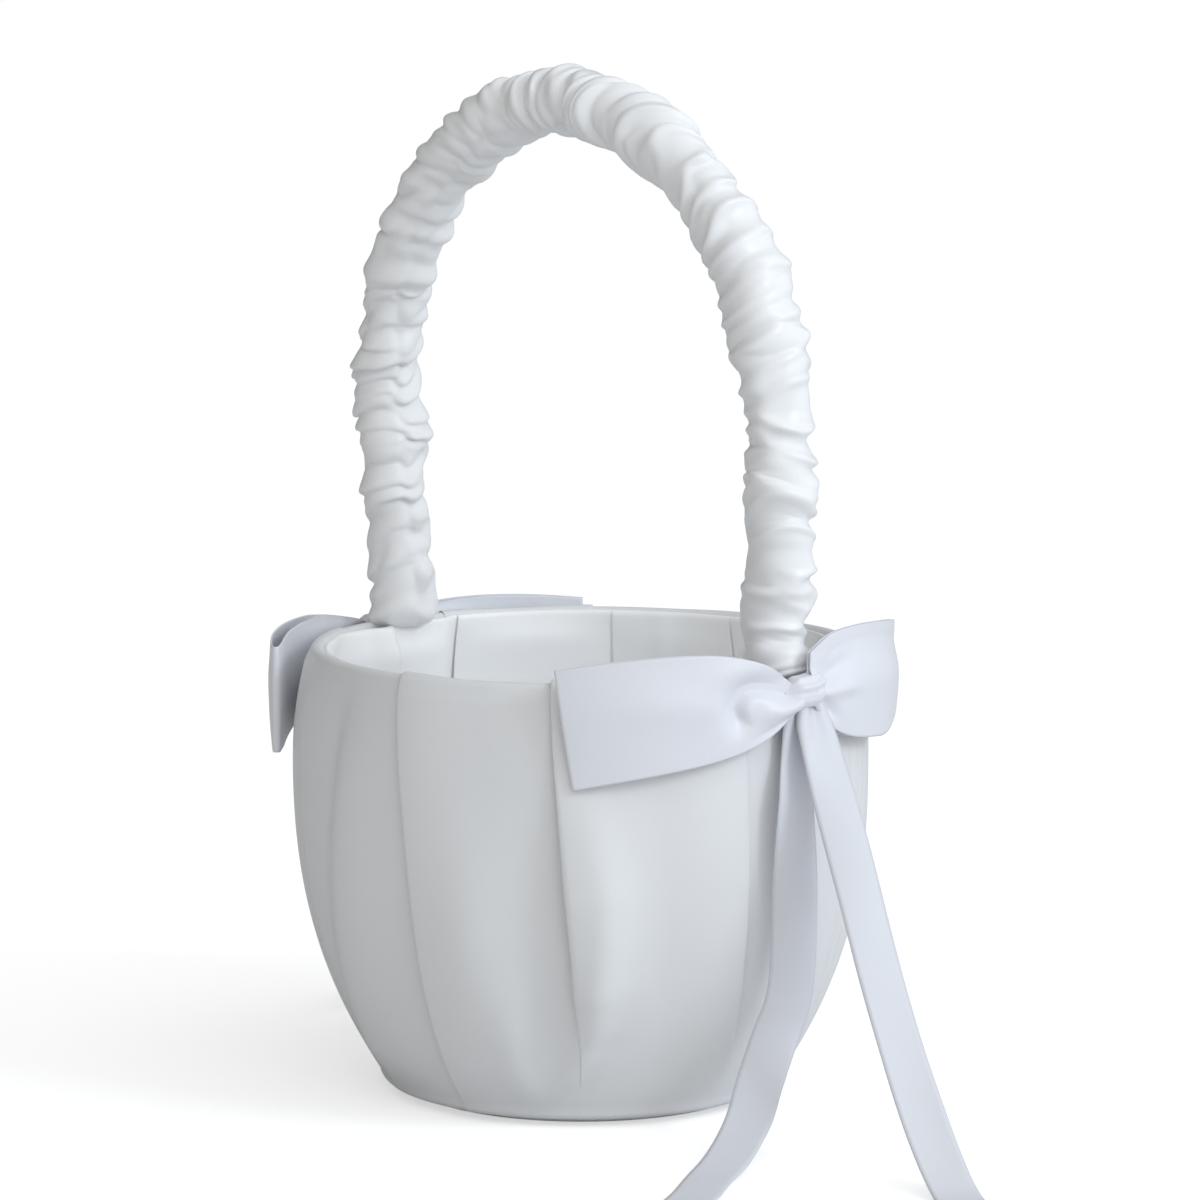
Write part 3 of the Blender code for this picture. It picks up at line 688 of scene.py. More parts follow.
def gathered_tube(length):
    """Simulates a cloth tube GATHER times as long as the handle, pushed together on a core. Returns
    its points (along, round, 3), straight along X."""
    long = length * SIM_SCALE
    radius = SIM_RADIUS * SIM_SCALE
    x = np.linspace(0, long, SIM_ROWS)
    angle = np.linspace(0, 2 * np.pi, SIM_SIDES, endpoint=False)
    along, turn = np.meshgrid(x, angle, indexing="ij")
    reach = radius + 0.0006 * SIM_SCALE * fold_noise(SIM_ROWS, SIM_SIDES, 7)
    uneven = along + 0.0004 * SIM_SCALE * smooth_noise((SIM_ROWS, SIM_SIDES), 40, 3, 8)
    start = np.stack([uneven, reach * np.cos(turn), reach * np.sin(turn)], axis=-1)
    wide = radius * HOOP
    longer = (along - long / 2) * GATHER + long / 2
    cut = np.stack([longer, wide * np.cos(turn), wide * np.sin(turn)], axis=-1)
    no_uv = np.zeros((SIM_ROWS, SIM_SIDES + 1, 2))
    tube = grid_object("sleeve_simulation", start, SLEEVE_SATIN, no_uv, wrap=True)
    tube.shape_key_add(name="Basis")
    rest = tube.shape_key_add(name="cut")
    rest.data.foreach_set("co", cut.reshape(-1))
    rest.value = 0
    index = np.arange(SIM_ROWS * SIM_SIDES).reshape(SIM_ROWS, SIM_SIDES)
    held = tube.vertex_groups.new(name="held")
    held.add(index[[0, 1, -2, -1]].reshape(-1).tolist(), 1.0, "REPLACE")
    held.add(index[2:-2:3, 0].tolist(), 0.6, "REPLACE")
    bpy.ops.mesh.primitive_cylinder_add(vertices=24, radius=SIM_CORE_RADIUS * SIM_SCALE, depth=long * 1.1,
                                        location=(long / 2, 0, 0), rotation=(0, math.pi / 2, 0))
    core = bpy.context.object
    core.modifiers.new("collision", "COLLISION")
    core.collision.thickness_outer = 0.002
    cloth = tube.modifiers.new("cloth", "CLOTH")
    for key, value in CLOTH_SETTINGS.items():
        setattr(cloth.settings, key, value)
    cloth.settings.rest_shape_key = rest
    cloth.settings.effector_weights.gravity = 0
    cloth.collision_settings.collision_quality = 2
    cloth.collision_settings.distance_min = 0.002
    for number in range(1, SIM_FRAMES + 1):
        bpy.context.scene.frame_set(number)
    done = tube.evaluated_get(bpy.context.evaluated_depsgraph_get())
    found = np.empty(SIM_ROWS * SIM_SIDES * 3, np.float32)
    done.data.vertices.foreach_get("co", found)
    bpy.data.objects.remove(tube, do_unlink=True)
    bpy.data.objects.remove(core, do_unlink=True)
    return found.reshape(SIM_ROWS, SIM_SIDES, 3).astype(float) / SIM_SCALE


def resampled(grid, rows, sides):
    """The grid with more rows, by a cubic curve, and more sides, by its waves. Sides wrap."""
    place = np.linspace(0, len(grid) - 1, rows)
    low = np.clip(place.astype(int), 0, len(grid) - 2)
    t = (place - low)[:, None, None]
    last = len(grid) - 1
    a, b, c, d = grid[np.maximum(low - 1, 0)], grid[low], grid[low + 1], grid[np.minimum(low + 2, last)]
    finer = 0.5 * (2 * b + (c - a) * t + (2 * a - 5 * b + 4 * c - d) * t**2 + (3 * b - a - 3 * c + d) * t**3)
    waves = np.fft.rfft(finer, axis=1)
    more = np.zeros((rows, sides // 2 + 1, 3), complex)
    more[:, :waves.shape[1]] = waves
    return np.fft.irfft(more, sides, axis=1) * sides / grid.shape[1]


def crumple(noise, sharpness):
    """Rounded lobes between sharp creases, which run where the noise passes zero. From 0 in a crease to 1."""
    return 1 - np.exp(-np.abs(noise) / sharpness)


CREST_ROUND = 0.22
CREST_SHARPNESS = 0.60
CREST_MEAN = 0.42


def ridged(noise):
    """Rounded crests between soft bands, about 0 on the whole. The crests run where the noise passes zero."""
    return np.exp((CREST_ROUND - np.sqrt(noise**2 + CREST_ROUND**2)) / CREST_SHARPNESS) - CREST_MEAN


def shifted(field, rows, columns):
    """A wrapped field read at places moved by so many rows and columns."""
    row = np.remainder(rows, len(field))
    column = np.remainder(columns, field.shape[1])
    r = np.floor(row).astype(int)
    c = np.floor(column).astype(int)
    u = row - r
    v = column - c
    r, c = r % len(field), c % field.shape[1]
    below, beside = (r + 1) % len(field), (c + 1) % field.shape[1]
    near = field[r, c] * (1 - v) + field[r, beside] * v
    far = field[below, c] * (1 - v) + field[below, beside] * v
    return near * (1 - u) + far * u


SLEEVE_ROWS = 680
SLEEVE_SIDES = 72
# The seam's place round the sleeve, in radians from the inside of the arch, on the way from foot to foot.
SEAM_SHARES = (0.0, 0.12, 0.20, 0.30, 0.50, 1.0)
SEAM_TURNS = (-0.30, -0.32, -0.56, -0.84, -0.50, 0.0)
GATHER_GAIN = 1.22
# How much of the solved tube's own relief is kept.
SOLVED_SHARE = 0.35
# Where the gathers lean: how much, the middle and the spread, as shares of the way from foot to foot.
SLEEVE_LEANS = ((0.75, 0.59, 0.080), (0.40, 0.862, 0.035), (0.22, 0.95, 0.05))


def softened(field, times):
    """The field averaged with its neighbours, so that no crest is as narrow as the grid. Columns wrap."""
    for _ in range(times):
        field = 0.5 * field + 0.25 * (np.roll(field, 1, axis=1) + np.roll(field, -1, axis=1))
        longer = np.pad(field, ((1, 1), (0, 0)), mode="edge")
        field = 0.5 * field + 0.25 * (longer[:-2] + longer[2:])
    return field


def gather_heights(share, turn):
    """How far the gathers stand from the sleeve's mean skin, in mm. share is the way from foot to foot."""
    shape = share.shape
    seam = np.interp(share, SEAM_SHARES, SEAM_TURNS) + 0.15 * smooth_noise((shape[0], 4), 22, 1, 44)[:, :1]
    beyond = np.remainder(turn - seam + math.pi, 2 * math.pi) - math.pi
    from_seam = np.abs(beyond)
    sewn = 1 - ease((share - 0.48) / 0.06)
    # The gathers crowd on the way up from the foot at -X and over the top, wander, and change at the seam.
    place = share[:, :1]
    crowd = 1 + 0.7 * bell(place, 0.18, 0.05) + 0.5 * bell(place, 0.44, 0.07)
    crowd = crowd - 0.45 * bell(place, 0.30, 0.06) - 0.40 * bell(place, 0.05, 0.05)
    row = np.cumsum(crowd, axis=0) / crowd.sum() * shape[0]
    row = row + 3.2 * smooth_noise(shape, 16, 1.3, 51) + 1.0 * smooth_noise(shape, 40, 2.2, 52)
    row = row + 4.0 * np.tanh(beyond / 0.12) * bell(from_seam, 0, 1.1) * sewn
    column = np.arange(shape[1], dtype=float)[None, :] + 1.2 * smooth_noise(shape, 16, 1.6, 53)

    def folds(seed, waves, spread, bend):
        return shifted(fold_noise(*shape, seed, waves, spread, bend), row, column)

    lobes = crumple(folds(41, 25, 12, 1.5), 0.85) - 0.52
    cross = crumple(folds(46, 17, 8, 2.2), 0.50) - 0.6
    small = crumple(folds(42, 60, 22, 1.8), 0.80) - 0.5
    crests = ridged(folds(47, 27, 12, 1.5))
    fine = ridged(folds(48, 64, 22, 1.8))
    pucker = crumple(fold_noise(*shape, 45, 70, 22, 3.0), 0.5) - 0.6
    deep = 0.60 + 0.6 * ease(0.5 + 0.4 * smooth_noise(shape, 22, 2.0, 54))
    deep = deep * (1 - 0.35 * bell(share, 0.30, 0.06))
    where = ease(0.45 + 0.45 * smooth_noise(shape, 18, 2.0, 43))
    crowded = np.clip(bell(share, 0.19, 0.07) + bell(share, 0.45, 0.10) + 0.35, 0, 1)
    leg_at_minus_x = 0.15 + 0.85 * (1 - ease((share - 0.36) / 0.10))
    # Over the top and on the leg at -X the gathers are mostly lobes, and on the leg at +X mostly crests.
    crested = 0.30 + 0.35 * ease((share - 0.54) / 0.08)
    lobed = 2.5 * lobes * deep + 0.80 * small * where * crowded
    drawn = 2.5 * crests * deep + 0.8 * fine * where
    height = lobed * (1 - crested) + drawn * crested + 0.70 * cross * leg_at_minus_x
    height = height + 0.40 * smooth_noise(shape, 24, 2.0, 55) + 0.25 * pucker * bell(from_seam, 0.0, 0.40)
    height = height - 0.50 * bell(from_seam, 0.0, 0.070) * sewn - 0.15 * bell(from_seam, 0.0, 0.30)
    return GATHER_GAIN * softened(height, 2)


def build_sleeve():
    """The gathered tube bent along the handle, from foot to foot."""
    path = arch_path()
    path = path[path[:, 1] > SLEEVE_END]
    run = path_run(path)
    length = float(run[-1])
    tube = resampled(gathered_tube(length), SLEEVE_ROWS, SLEEVE_SIDES)
    along = tube[..., 0]
    share = along / length
    turn = np.arctan2(tube[..., 2], tube[..., 1])
    reach = np.hypot(tube[..., 1], tube[..., 2])
    height = SOLVED_SHARE * (reach - reach.mean()) + gather_heights(share, turn) * MM
    # The gathers lean where the tube was twisted as it was drawn on, and their lobes roll over.
    lean = -sum(most * bell(share, at, spread) for most, at, spread in SLEEVE_LEANS)
    roll = (0.8 - 0.5 * ease((share - 0.50) / 0.08)) * np.sin(2.2 * math.pi * share + 0.4)
    ends = ease(share / 0.04) * ease((1 - share) / 0.04)
    radius = SLEEVE_HALF_THICK + height
    across = radius * np.sin(turn) * SLEEVE_HALF_WIDTH / SLEEVE_HALF_THICK
    inner = radius * np.cos(turn)
    along = np.clip(along - (lean * across + roll * height) * ends, 0, length)
    # Both ends go down between the lip and the lining, and the one at -X flares over the rim.
    near_end = np.minimum(along, length - along)
    opened = ease((near_end - 0.0028) / 0.0022)
    over_rim = ease((near_end - 0.0010) / 0.0016)
    inner = inner * np.where(inner < 0, 0.12 + 0.88 * over_rim, 0.36 + 0.64 * opened)
    inner = inner * (1 + 0.15 * bell(near_end, 0.0045, 0.003) * (inner < 0))
    across = across * (0.94 + 0.06 * opened) * (1 + 0.13 * bell(along, 0.0075, 0.0045))
    ways = tangents(path)
    point_x, point_z = (np.interp(along, run, path[:, k]) for k in (0, 1))
    way_x, way_z = (np.interp(along, run, ways[:, k]) for k in (0, 1))
    # The inside of the arch is to the right of the way from the foot at -X.
    points = np.stack([point_x + way_z * inner, across, point_z - way_x * inner], axis=-1)
    rows = np.linspace(0, length * GATHER, SLEEVE_ROWS)
    ring = np.linspace(0, 2 * math.pi * SLEEVE_HALF_THICK, SLEEVE_SIDES + 1)
    sleeve = grid_object("ruched_sleeve", points, SLEEVE_SATIN, grid_uv(ring, rows), wrap=True)
    add_thickness(sleeve, RIBBON_THICK)
    return sleeve


# ---------------------------------------------------------------- bows

def around(side, radius, angle, height):
    """Points at an angle from a bow's middle. side is 1 for the bow at +X and -1 for the one at -X."""
    return round_z(side * radius, angle + BOW_TURN, height)


# One bow loop, in mm. hand is -1 for a left loop and 1 for a right one. Its lower edge widens from start
# on within about opening, and its upper edge from upper_start on within about upper. rise, drop and bend
# shape its centre line. flare is how far its tip stands off the bucket, slant how far its tip edge leans,
# corner the roll of its lower outer corner, puff its fullness, and shorter what it lacks of the full
# sweep. folds are the depth and reach of its gathers, shut how nearly its layers meet along the upper
# edge, and creases its folds by the knot.
Loop = namedtuple("Loop", (
    "hand", "start", "opening", "upper_start", "upper", "rise", "drop", "bend", "flare", "slant", "corner",
    "puff", "shorter", "folds", "shut", "creases",
))
LOOP_ROWS = 110
LOOP_COLUMNS = 52
LOOP_TIP_ROWS = 9
LEAST_GAP = 2.2 * RIBBON_THICK


def loop_points(side, loop):
    """The two layers of a loop: out along the back one, round the tip and back along the front one."""
    reach = KNOT_RADIUS * LOOP_SWEEP / MM - loop.shorter
    out = reach * (1 - (1 - np.linspace(0, 1, LOOP_ROWS)) ** 1.15)
    d, v = np.meshgrid(out, np.linspace(-1, 1, LOOP_COLUMNS + 1), indexing="ij")
    share = d / reach
    upper = ease((v + 0.25) / 0.5)
    opening = loop.opening + (loop.upper - loop.opening) * upper
    start = loop.start + (loop.upper_start - loop.start) * upper
    widen = 1 - np.exp(-np.clip(d - start, 0, None) / opening)
    half = (LOOP_HALF_PINCH + (LOOP_HALF_RIBBON - LOOP_HALF_PINCH) * widen) / MM
    height = loop.rise * ease(d / 8) - loop.drop * share**loop.bend + half * v
    flare = loop.flare * share**2.2
    slid = d + loop.slant * v * ease((share - 0.3) / 0.7)
    puff = 0.30 + loop.puff * ease((d - 2) / 12) * (1 - 0.8 * share**6) * (1 - 0.35 * v**2)
    near = np.exp(-((d / 12.0) ** 2))
    back = -np.minimum(puff, 1.25) + 0.3 * near * bell(v, 0.1, 0.4)
    # The ribbon comes full and finely gathered out of the knot.
    front = puff + 2.4 * np.exp(-((d / 7.5) ** 2)) * (1 - 0.5 * v**2) + loop.creases(d, half * v)
    apart = 1 - loop.shut * ease((v - 0.05) / 0.85)
    front = front * apart
    back = back * apart
    depth, reached = loop.folds
    gathers = depth * np.sin(8 * v + 0.5 * np.minimum(d, 12)) * np.exp(-((d / reached) ** 2))
    front = front + gathers
    back = back + 0.7 * gathers * ease(d / 10) * (depth > 0.5)
    front = front + 0.5 * bell(v, -0.2 + 0.5 * share, 0.35) * bell(share, 0.55, 0.22)
    front = np.maximum(front, back + LEAST_GAP / MM)
    layers = [np.stack([slid, KNOT_RADIUS / MM + flare + stand, height, v], -1) for stand in (back, front)]
    edge_back, edge_front = layers[0][-1], layers[1][-1]
    middle = (edge_back + edge_front) / 2
    half_gap = np.maximum((edge_front[:, 1] - edge_back[:, 1]) / 2, 0.2)
    tip = []
    for turn in np.linspace(0, 1, LOOP_TIP_ROWS + 2)[1:-1]:
        row = middle.copy()
        row[:, 0] += half_gap * math.sin(math.pi * turn) * 1.1
        row[:, 1] -= half_gap * math.cos(math.pi * turn)
        tip.append(row)
    grid = np.concatenate([layers[0], np.stack(tip), layers[1][::-1]])
    d, radius, height, v = np.moveaxis(grid, -1, 0)
    if loop.corner:
        # The lower outer corner is soft and rolls in.
        roll = ease((d - (reach - loop.corner)) / loop.corner) * ease(-v)
        d = d - loop.corner * 0.12 * roll
        height = height + loop.corner * 0.24 * roll
    angle = loop.hand * d * MM / KNOT_RADIUS
    points = around(side, radius * MM, angle, KNOT_HEIGHT + height * MM)
    run = path_run(points[:, LOOP_COLUMNS // 2])
    uv = np.stack([v * LOOP_HALF_RIBBON, np.broadcast_to(run[:, None], v.shape)], axis=-1)
    return points, uv


def beside(d, h, line):
    """Signed distance from a line of (d, h) points, positive on its left, and the share run along it."""
    line = np.array(line, float)
    steps = np.linalg.norm(np.diff(line, axis=0), axis=1)
    run = np.concatenate([[0], np.cumsum(steps)])
    best = np.full(d.shape, 1e9)
    signed = np.zeros(d.shape)
    share = np.zeros(d.shape)
    for k, (start, end) in enumerate(zip(line, line[1:])):
        way = (end - start) / steps[k]
        t = np.clip((d - start[0]) * way[0] + (h - start[1]) * way[1], 0, steps[k])
        away_d = d - start[0] - way[0] * t
        away_h = h - start[1] - way[1] * t
        away = np.hypot(away_d, away_h)
        nearer = away < best
        best = np.where(nearer, away, best)
        signed = np.where(nearer, away * np.where(way[0] * away_h - way[1] * away_d >= 0, 1, -1), signed)
        share = np.where(nearer, (run[k] + t) / run[-1], share)
    return signed, share


def crease(d, h, line, depths, outer, inner):
    """A crease along a line. It rises over outer mm on its left and over inner mm on its right."""
    signed, share = beside(d, h, smooth_path(line, 40))
    depth = np.interp(share, np.linspace(0, 1, len(depths)), depths)
    return -depth * np.exp(-((signed / np.where(signed > 0, outer, inner)) ** 2))


def hooked_creases(d, h):
    """A puffed tongue along the lower edge by the knot, and the crease that hooks over it."""
    hook = ((2, 1.0), (6, 1.5), (10, 2.4), (14, 3.2), (17.5, 3.0), (19.6, 1.2), (20.0, -1.2), (18.8, -3.4),
            (16.6, -5.0))
    valley = crease(d, h, hook, (1.2, 1.9, 2.3, 2.6, 3.0, 3.2, 2.9, 1.8, 0.0), 3.2, 1.3)
    tongue = 1.7 * bell(h, -0.9 - 0.10 * d, 1.2 + 0.09 * d) * ease((d - 2) / 3) * ease((17 - d) / 7)
    brow = 1.1 * bell(h, 7.2, 2.8) * bell(d, 17, 8)
    second = crease(d, h, ((2, -1.6), (7, -3.9), (13, -6.2), (18, -8.0)), (0.3, 0.6, 0.4, 0.0), 0.9, 0.9)
    return valley + tongue + brow + second


def stacked_creases(d, h):
    """A standing fold above the knot, doubled at its edge, over a hollow and a soft ridge in the middle."""
    upper = crease(d, h, ((2.0, 2.4), (4.0, 4.8), (6.0, 7.2), (8.0, 9.6)), (0.9, 1.7, 1.5, 0.6), 0.9, 1.5)
    double = crease(d, h, ((0.8, 3.0), (1.8, 6.0), (3.0, 9.4)), (0.5, 0.9, 0.6), 0.5, 0.7)
    hollow = crease(d, h, ((2.5, 1.6), (7, 3.6), (12, 5.2), (17, 5.8)), (0.8, 1.8, 1.3, 0.0), 2.4, 2.0)
    ridge = 1.1 * bell(h, -0.6, 1.7) * bell(d, 9.0, 6.5)
    under = crease(d, h, ((1.5, -1.4), (5, -4.4), (9, -7.4)), (0.6, 1.0, 0.0), 1.4, 1.2)
    return upper + double + hollow + ridge + under


def build_loop(name, side, loop):
    points, uv = loop_points(side, loop)
    if side * loop.hand < 0:
        points, uv = points[:, ::-1], uv[:, ::-1]
    obj = grid_object(name, points, LOOP_SATIN, uv)
    add_thickness(obj, RIBBON_THICK)
    return obj


KNOT_SHIFT = -2.2
KNOT_HALF_LONG = 5.3
KNOT_LIFT = 0.0006
KNOT_UV_RADIUS = 0.0034
KNOT_COLUMNS = 72


def build_knot(name, side, seed):
    """The ribbon drawn flat round the pinched middle, a little to its left, with creases along the bow."""
    rows = np.linspace(-1, 1, 33)
    angle = np.linspace(0, 2 * np.pi, KNOT_COLUMNS + 1)[:-1]
    share, turn = np.meshgrid(rows, angle, indexing="ij")
    creases = smooth_noise(share.shape, 1.2, 8, seed)
    flare = 0.93 + 0.07 * share**2
    curl = np.where(share < 0, ease((-share - 0.30) / 0.70) ** 1.3, ease((share - 0.80) / 0.20) ** 1.5)
    fold = 0.62 - 0.30 * (1 - share**2)
    facets = 0.42 * bell(turn, fold, 0.15)
    facets = facets - 0.30 * bell(turn, fold + 0.42, 0.28) - 0.34 * bell(turn, fold - 0.42, 0.26)
    deep = (3.0 * flare + 0.08 * creases + facets) * (1 - 0.85 * curl)
    tall = (3.6 * flare + 0.10 * creases + 0.4 * facets) * (1 - 0.85 * curl)
    bulge_out = np.sign(np.cos(turn)) * np.abs(np.cos(turn)) ** 0.75
    bulge_up = np.sign(np.sin(turn)) * np.abs(np.sin(turn)) ** 0.85
    along = KNOT_SHIFT + KNOT_HALF_LONG * share + 0.5 * np.sin(turn + 0.5)
    radius = KNOT_RADIUS / MM + deep * bulge_out
    height = KNOT_HEIGHT + KNOT_LIFT + tall * bulge_up * MM + 0.06 * along * MM
    points = around(side, radius * MM, along * MM / KNOT_RADIUS, height)
    wide = np.linspace(0, 2 * math.pi * KNOT_UV_RADIUS, KNOT_COLUMNS + 1)
    obj = grid_object(name, points, LOOP_SATIN, grid_uv(wide, rows * KNOT_HALF_LONG * MM), wrap=True)
    add_thickness(obj, RIBBON_THICK)
    return obj


# ---------------------------------------------------------------- tails

TAIL_ROWS = 130
TAIL_COLUMNS = 10
TAIL_HOLLOW = 0.35 * MM


def build_tail(name, points, turns, cut, seed):
    """A free ribbon end along a route, and its length. turns are its width's bearings, in degrees."""
    top = np.array(points[0]) + (points[0][0] * -0.008, 0.0, 0.0030)
    path = smooth_path(np.vstack([top, points]), TAIL_ROWS)
    run = path_run(path)
    share = run / run[-1]
    bearing = np.radians(np.interp(share, np.linspace(0, 1, len(turns)), turns))
    spread = 0.78 + 0.22 * ease(run / 0.006)
    across = np.stack([np.cos(bearing), np.sin(bearing), 0 * bearing], axis=-1)
    ways = tangents(path)
    across = unit(across - ways * (across * ways).sum(-1, keepdims=True))
    face = unit(np.cross(across, ways))
    v = np.linspace(-1, 1, TAIL_COLUMNS + 1)
    wave = np.sin(run * 90 + seed) * 0.00022 + np.sin(run * 210 + 2 * seed) * 0.00008
    lying = ease((0.006 - path[:, 2]) / 0.004)
    free = (1 - lying)[:, None]
    cup = TAIL_HOLLOW * (1 - v[None, :] ** 2) * free * np.cos(run * 40 + seed)[:, None]
    gather = 0.0007 * np.cos(v * 5.2)[None, :] * (1 - ease(share / 0.10))[:, None]
    lift = cup + gather + wave[:, None] * v[None, :] * free
    # The end is cut on the slant.
    back = np.clip(cut * TAIL_HALF_RIBBON * (v[None, :] + 1) * 0.9, 0, None)
    slide = back * ease((share[:, None] - 0.80) / 0.20)
    sideways = v[None, :, None] * TAIL_HALF_RIBBON * spread[:, None, None]
    grid = (path[:, None, :] + across[:, None, :] * sideways + face[:, None, :] * lift[..., None]
            - ways[:, None, :] * slide[..., None])
    grid[..., 2] = np.maximum(grid[..., 2], 0.0004)
    obj = grid_object(name, grid, TAIL_SATIN, grid_uv(v * TAIL_HALF_RIBBON, run))
    add_thickness(obj, RIBBON_THICK)
    return obj, float(run[-1])


TAIL_TOP = 0.0912
FRONT_LEFT_ROUTE = (
    (0.0662, -0.0034, TAIL_TOP), (0.0668, -0.0048, 0.0830), (0.0684, -0.0074, 0.0720),
    (0.0688, -0.0081, 0.0560), (0.0686, -0.0083, 0.0400), (0.0680, -0.0092, 0.0300),
    (0.0672, -0.0128, 0.0220), (0.0694, -0.0200, 0.0145), (0.0732, -0.0285, 0.0080),
    (0.0774, -0.0400, 0.0030), (0.0807, -0.0503, TAIL_LOWEST), (0.0878, -0.0640, TAIL_LOWEST),
    (0.0930, -0.0790, TAIL_LOWEST), (0.0950, -0.0950, TAIL_LOWEST),
)
FRONT_RIGHT_ROUTE = (
    (0.0682, -0.0016, TAIL_TOP), (0.0745, -0.0040, 0.0790), (0.0860, -0.0085, 0.0580),
    (0.0970, -0.0130, 0.0380), (0.1080, -0.0175, 0.0210), (0.1180, -0.0215, 0.0080),
    (0.1270, -0.0260, TAIL_LOWEST), (0.1370, -0.0330, TAIL_LOWEST), (0.1460, -0.0430, TAIL_LOWEST),
    (0.1520, -0.0560, TAIL_LOWEST),
)
BACK_LEFT_ROUTE = (
    (-0.0662, 0.0034, TAIL_TOP), (-0.0672, 0.0046, 0.0800), (-0.0686, 0.0054, 0.0600),
    (-0.0688, 0.0060, 0.0400), (-0.0686, 0.0082, 0.0230), (-0.0690, 0.0150, 0.0110),
    (-0.0710, 0.0260, 0.0035), (-0.0728, 0.0400, TAIL_LOWEST), (-0.0740, 0.0640, TAIL_LOWEST),
    (-0.0770, 0.0960, TAIL_LOWEST),
)
BACK_RIGHT_ROUTE = (
    (-0.0682, 0.0016, TAIL_TOP), (-0.0712, 0.0020, 0.0780), (-0.0748, 0.0030, 0.0560),
    (-0.0780, 0.0052, 0.0360), (-0.0830, 0.0095, 0.0190), (-0.0895, 0.0170, 0.0070),
    (-0.0965, 0.0280, TAIL_LOWEST), (-0.1050, 0.0460, TAIL_LOWEST), (-0.1190, 0.0740, TAIL_LOWEST),
)


# ---------------------------------------------------------------- build the pieces

KEPT_NODES = {
    "bucket_core": BUCKET_PLASTIC, "handle_core": HANDLE_PLASTIC,
    "rivet_front_lower": RIVET_METAL, "rivet_front_upper": RIVET_METAL,
    "rivet_back_lower": RIVET_METAL, "rivet_back_upper": RIVET_METAL,
    "bow_front_thread": THREAD, "bow_back_thread": THREAD,
}
for node, look in KEPT_NODES.items():
    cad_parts[node].data.materials.clear()
    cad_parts[node].data.materials.append(look)


def settle(piece, node):
    """Makes a piece ride on the basket and hides the CAD node that it stands for."""
    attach(piece, "basket")
    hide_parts(node)


cover = build_cover()
settle(cover, "outer_cover")

lining = build_lining()
settle(lining, "lining")

base_disc = build_disc("base_cover_satin", BASE_DISC_RADIUS, 0.0, BASE_DISC_THICK,
                       crown=-0.0002, puckers=0.0002, look=COVER_SATIN, seed=21)
settle(base_disc, "base_cover")

floor_disc = build_disc("lining_floor_satin", FLOOR_RADIUS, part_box("lining_floor")[0].z, FLOOR_TOP,
                        crown=0.0006, puckers=0.0004, look=LINING_SATIN, seed=22)
settle(floor_disc, "lining_floor")

sleeve = build_sleeve()
settle(sleeve, "handle_sleeve")

# Each loop's bow, the bow's side, which loop it is, the length of ribbon in it, and its shape.
LOOPS = (
    ("front", 1, "left", 0.116, Loop(
        hand=-1, start=4.5, opening=11, upper_start=4.5, upper=10.5, rise=-0.7, drop=4.1, bend=2.5,
        flare=0.0, slant=2.0, corner=0, puff=1.5, shorter=0.0, folds=(0.28, 8), shut=0.3,
        creases=hooked_creases,
    )),
    ("front", 1, "right", 0.116, Loop(
        hand=1, start=1.0, opening=6.0, upper_start=-7.0, upper=7.5, rise=0.9, drop=5.2, bend=1.8,
        flare=2.6, slant=0.0, corner=28, puff=2.0, shorter=0.0, folds=(0.28, 8), shut=0.85,
        creases=stacked_creases,
    )),
    ("back", -1, "left", 0.108, Loop(
        hand=-1, start=3.0, opening=21, upper_start=3.0, upper=19, rise=0.0, drop=7.0, bend=0.9,
        flare=0.6, slant=0.0, corner=5, puff=1.7, shorter=4.0, folds=(0.75, 26), shut=0.0,
        creases=stacked_creases,
    )),
    ("back", -1, "right", 0.116, Loop(
        hand=1, start=3.0, opening=21, upper_start=3.0, upper=20, rise=0.0, drop=8.0, bend=1.1,
        flare=1.4, slant=0.5, corner=0, puff=3.0, shorter=0.0, folds=(0.75, 26), shut=0.0,
        creases=hooked_creases,
    )),
)
for where, side, which, cut_length, loop in LOOPS:
    piece = build_loop(f"{where}_bow_{which}_loop", side, loop)
    settle(piece, f"bow_{where}_loop_{which}")

for where, side, seed in (("front", 1, 31), ("back", -1, 32)):
    knot = build_knot(f"{where}_bow_wrap", side, seed)
    settle(knot, f"bow_{where}_knot")

# Each tail's bow, which tail it is, its route, its width's bearings from top to end, its cut and its seed.
TAILS = (
    ("front", "left", FRONT_LEFT_ROUTE, (84, 84, 56, 48, 46, 36, 24, 18, 8), 1.0, 1.0),
    ("front", "right", FRONT_RIGHT_ROUTE, (84, 62, 60, 60, 58, 56, 40, 26), -1.0, 2.0),
    ("back", "left", BACK_LEFT_ROUTE, (84, 98, 118, 128, 150, 170, 178), 1.0, 3.0),
    ("back", "right", BACK_RIGHT_ROUTE, (84, 92, 104, 114, 130, 144, 152), -1.0, 4.0),
)
for where, which, route, turns, cut, seed in TAILS:
    piece, long = build_tail(f"{where}_bow_{which}_tail", route, turns, cut, seed)
    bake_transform(piece)
    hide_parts(f"bow_{where}_tail_{which}")


# ---------------------------------------------------------------- stage, light and camera

FLOOR_HALF_SIZE = 40.0
FLOOR_GLOW = 0.52


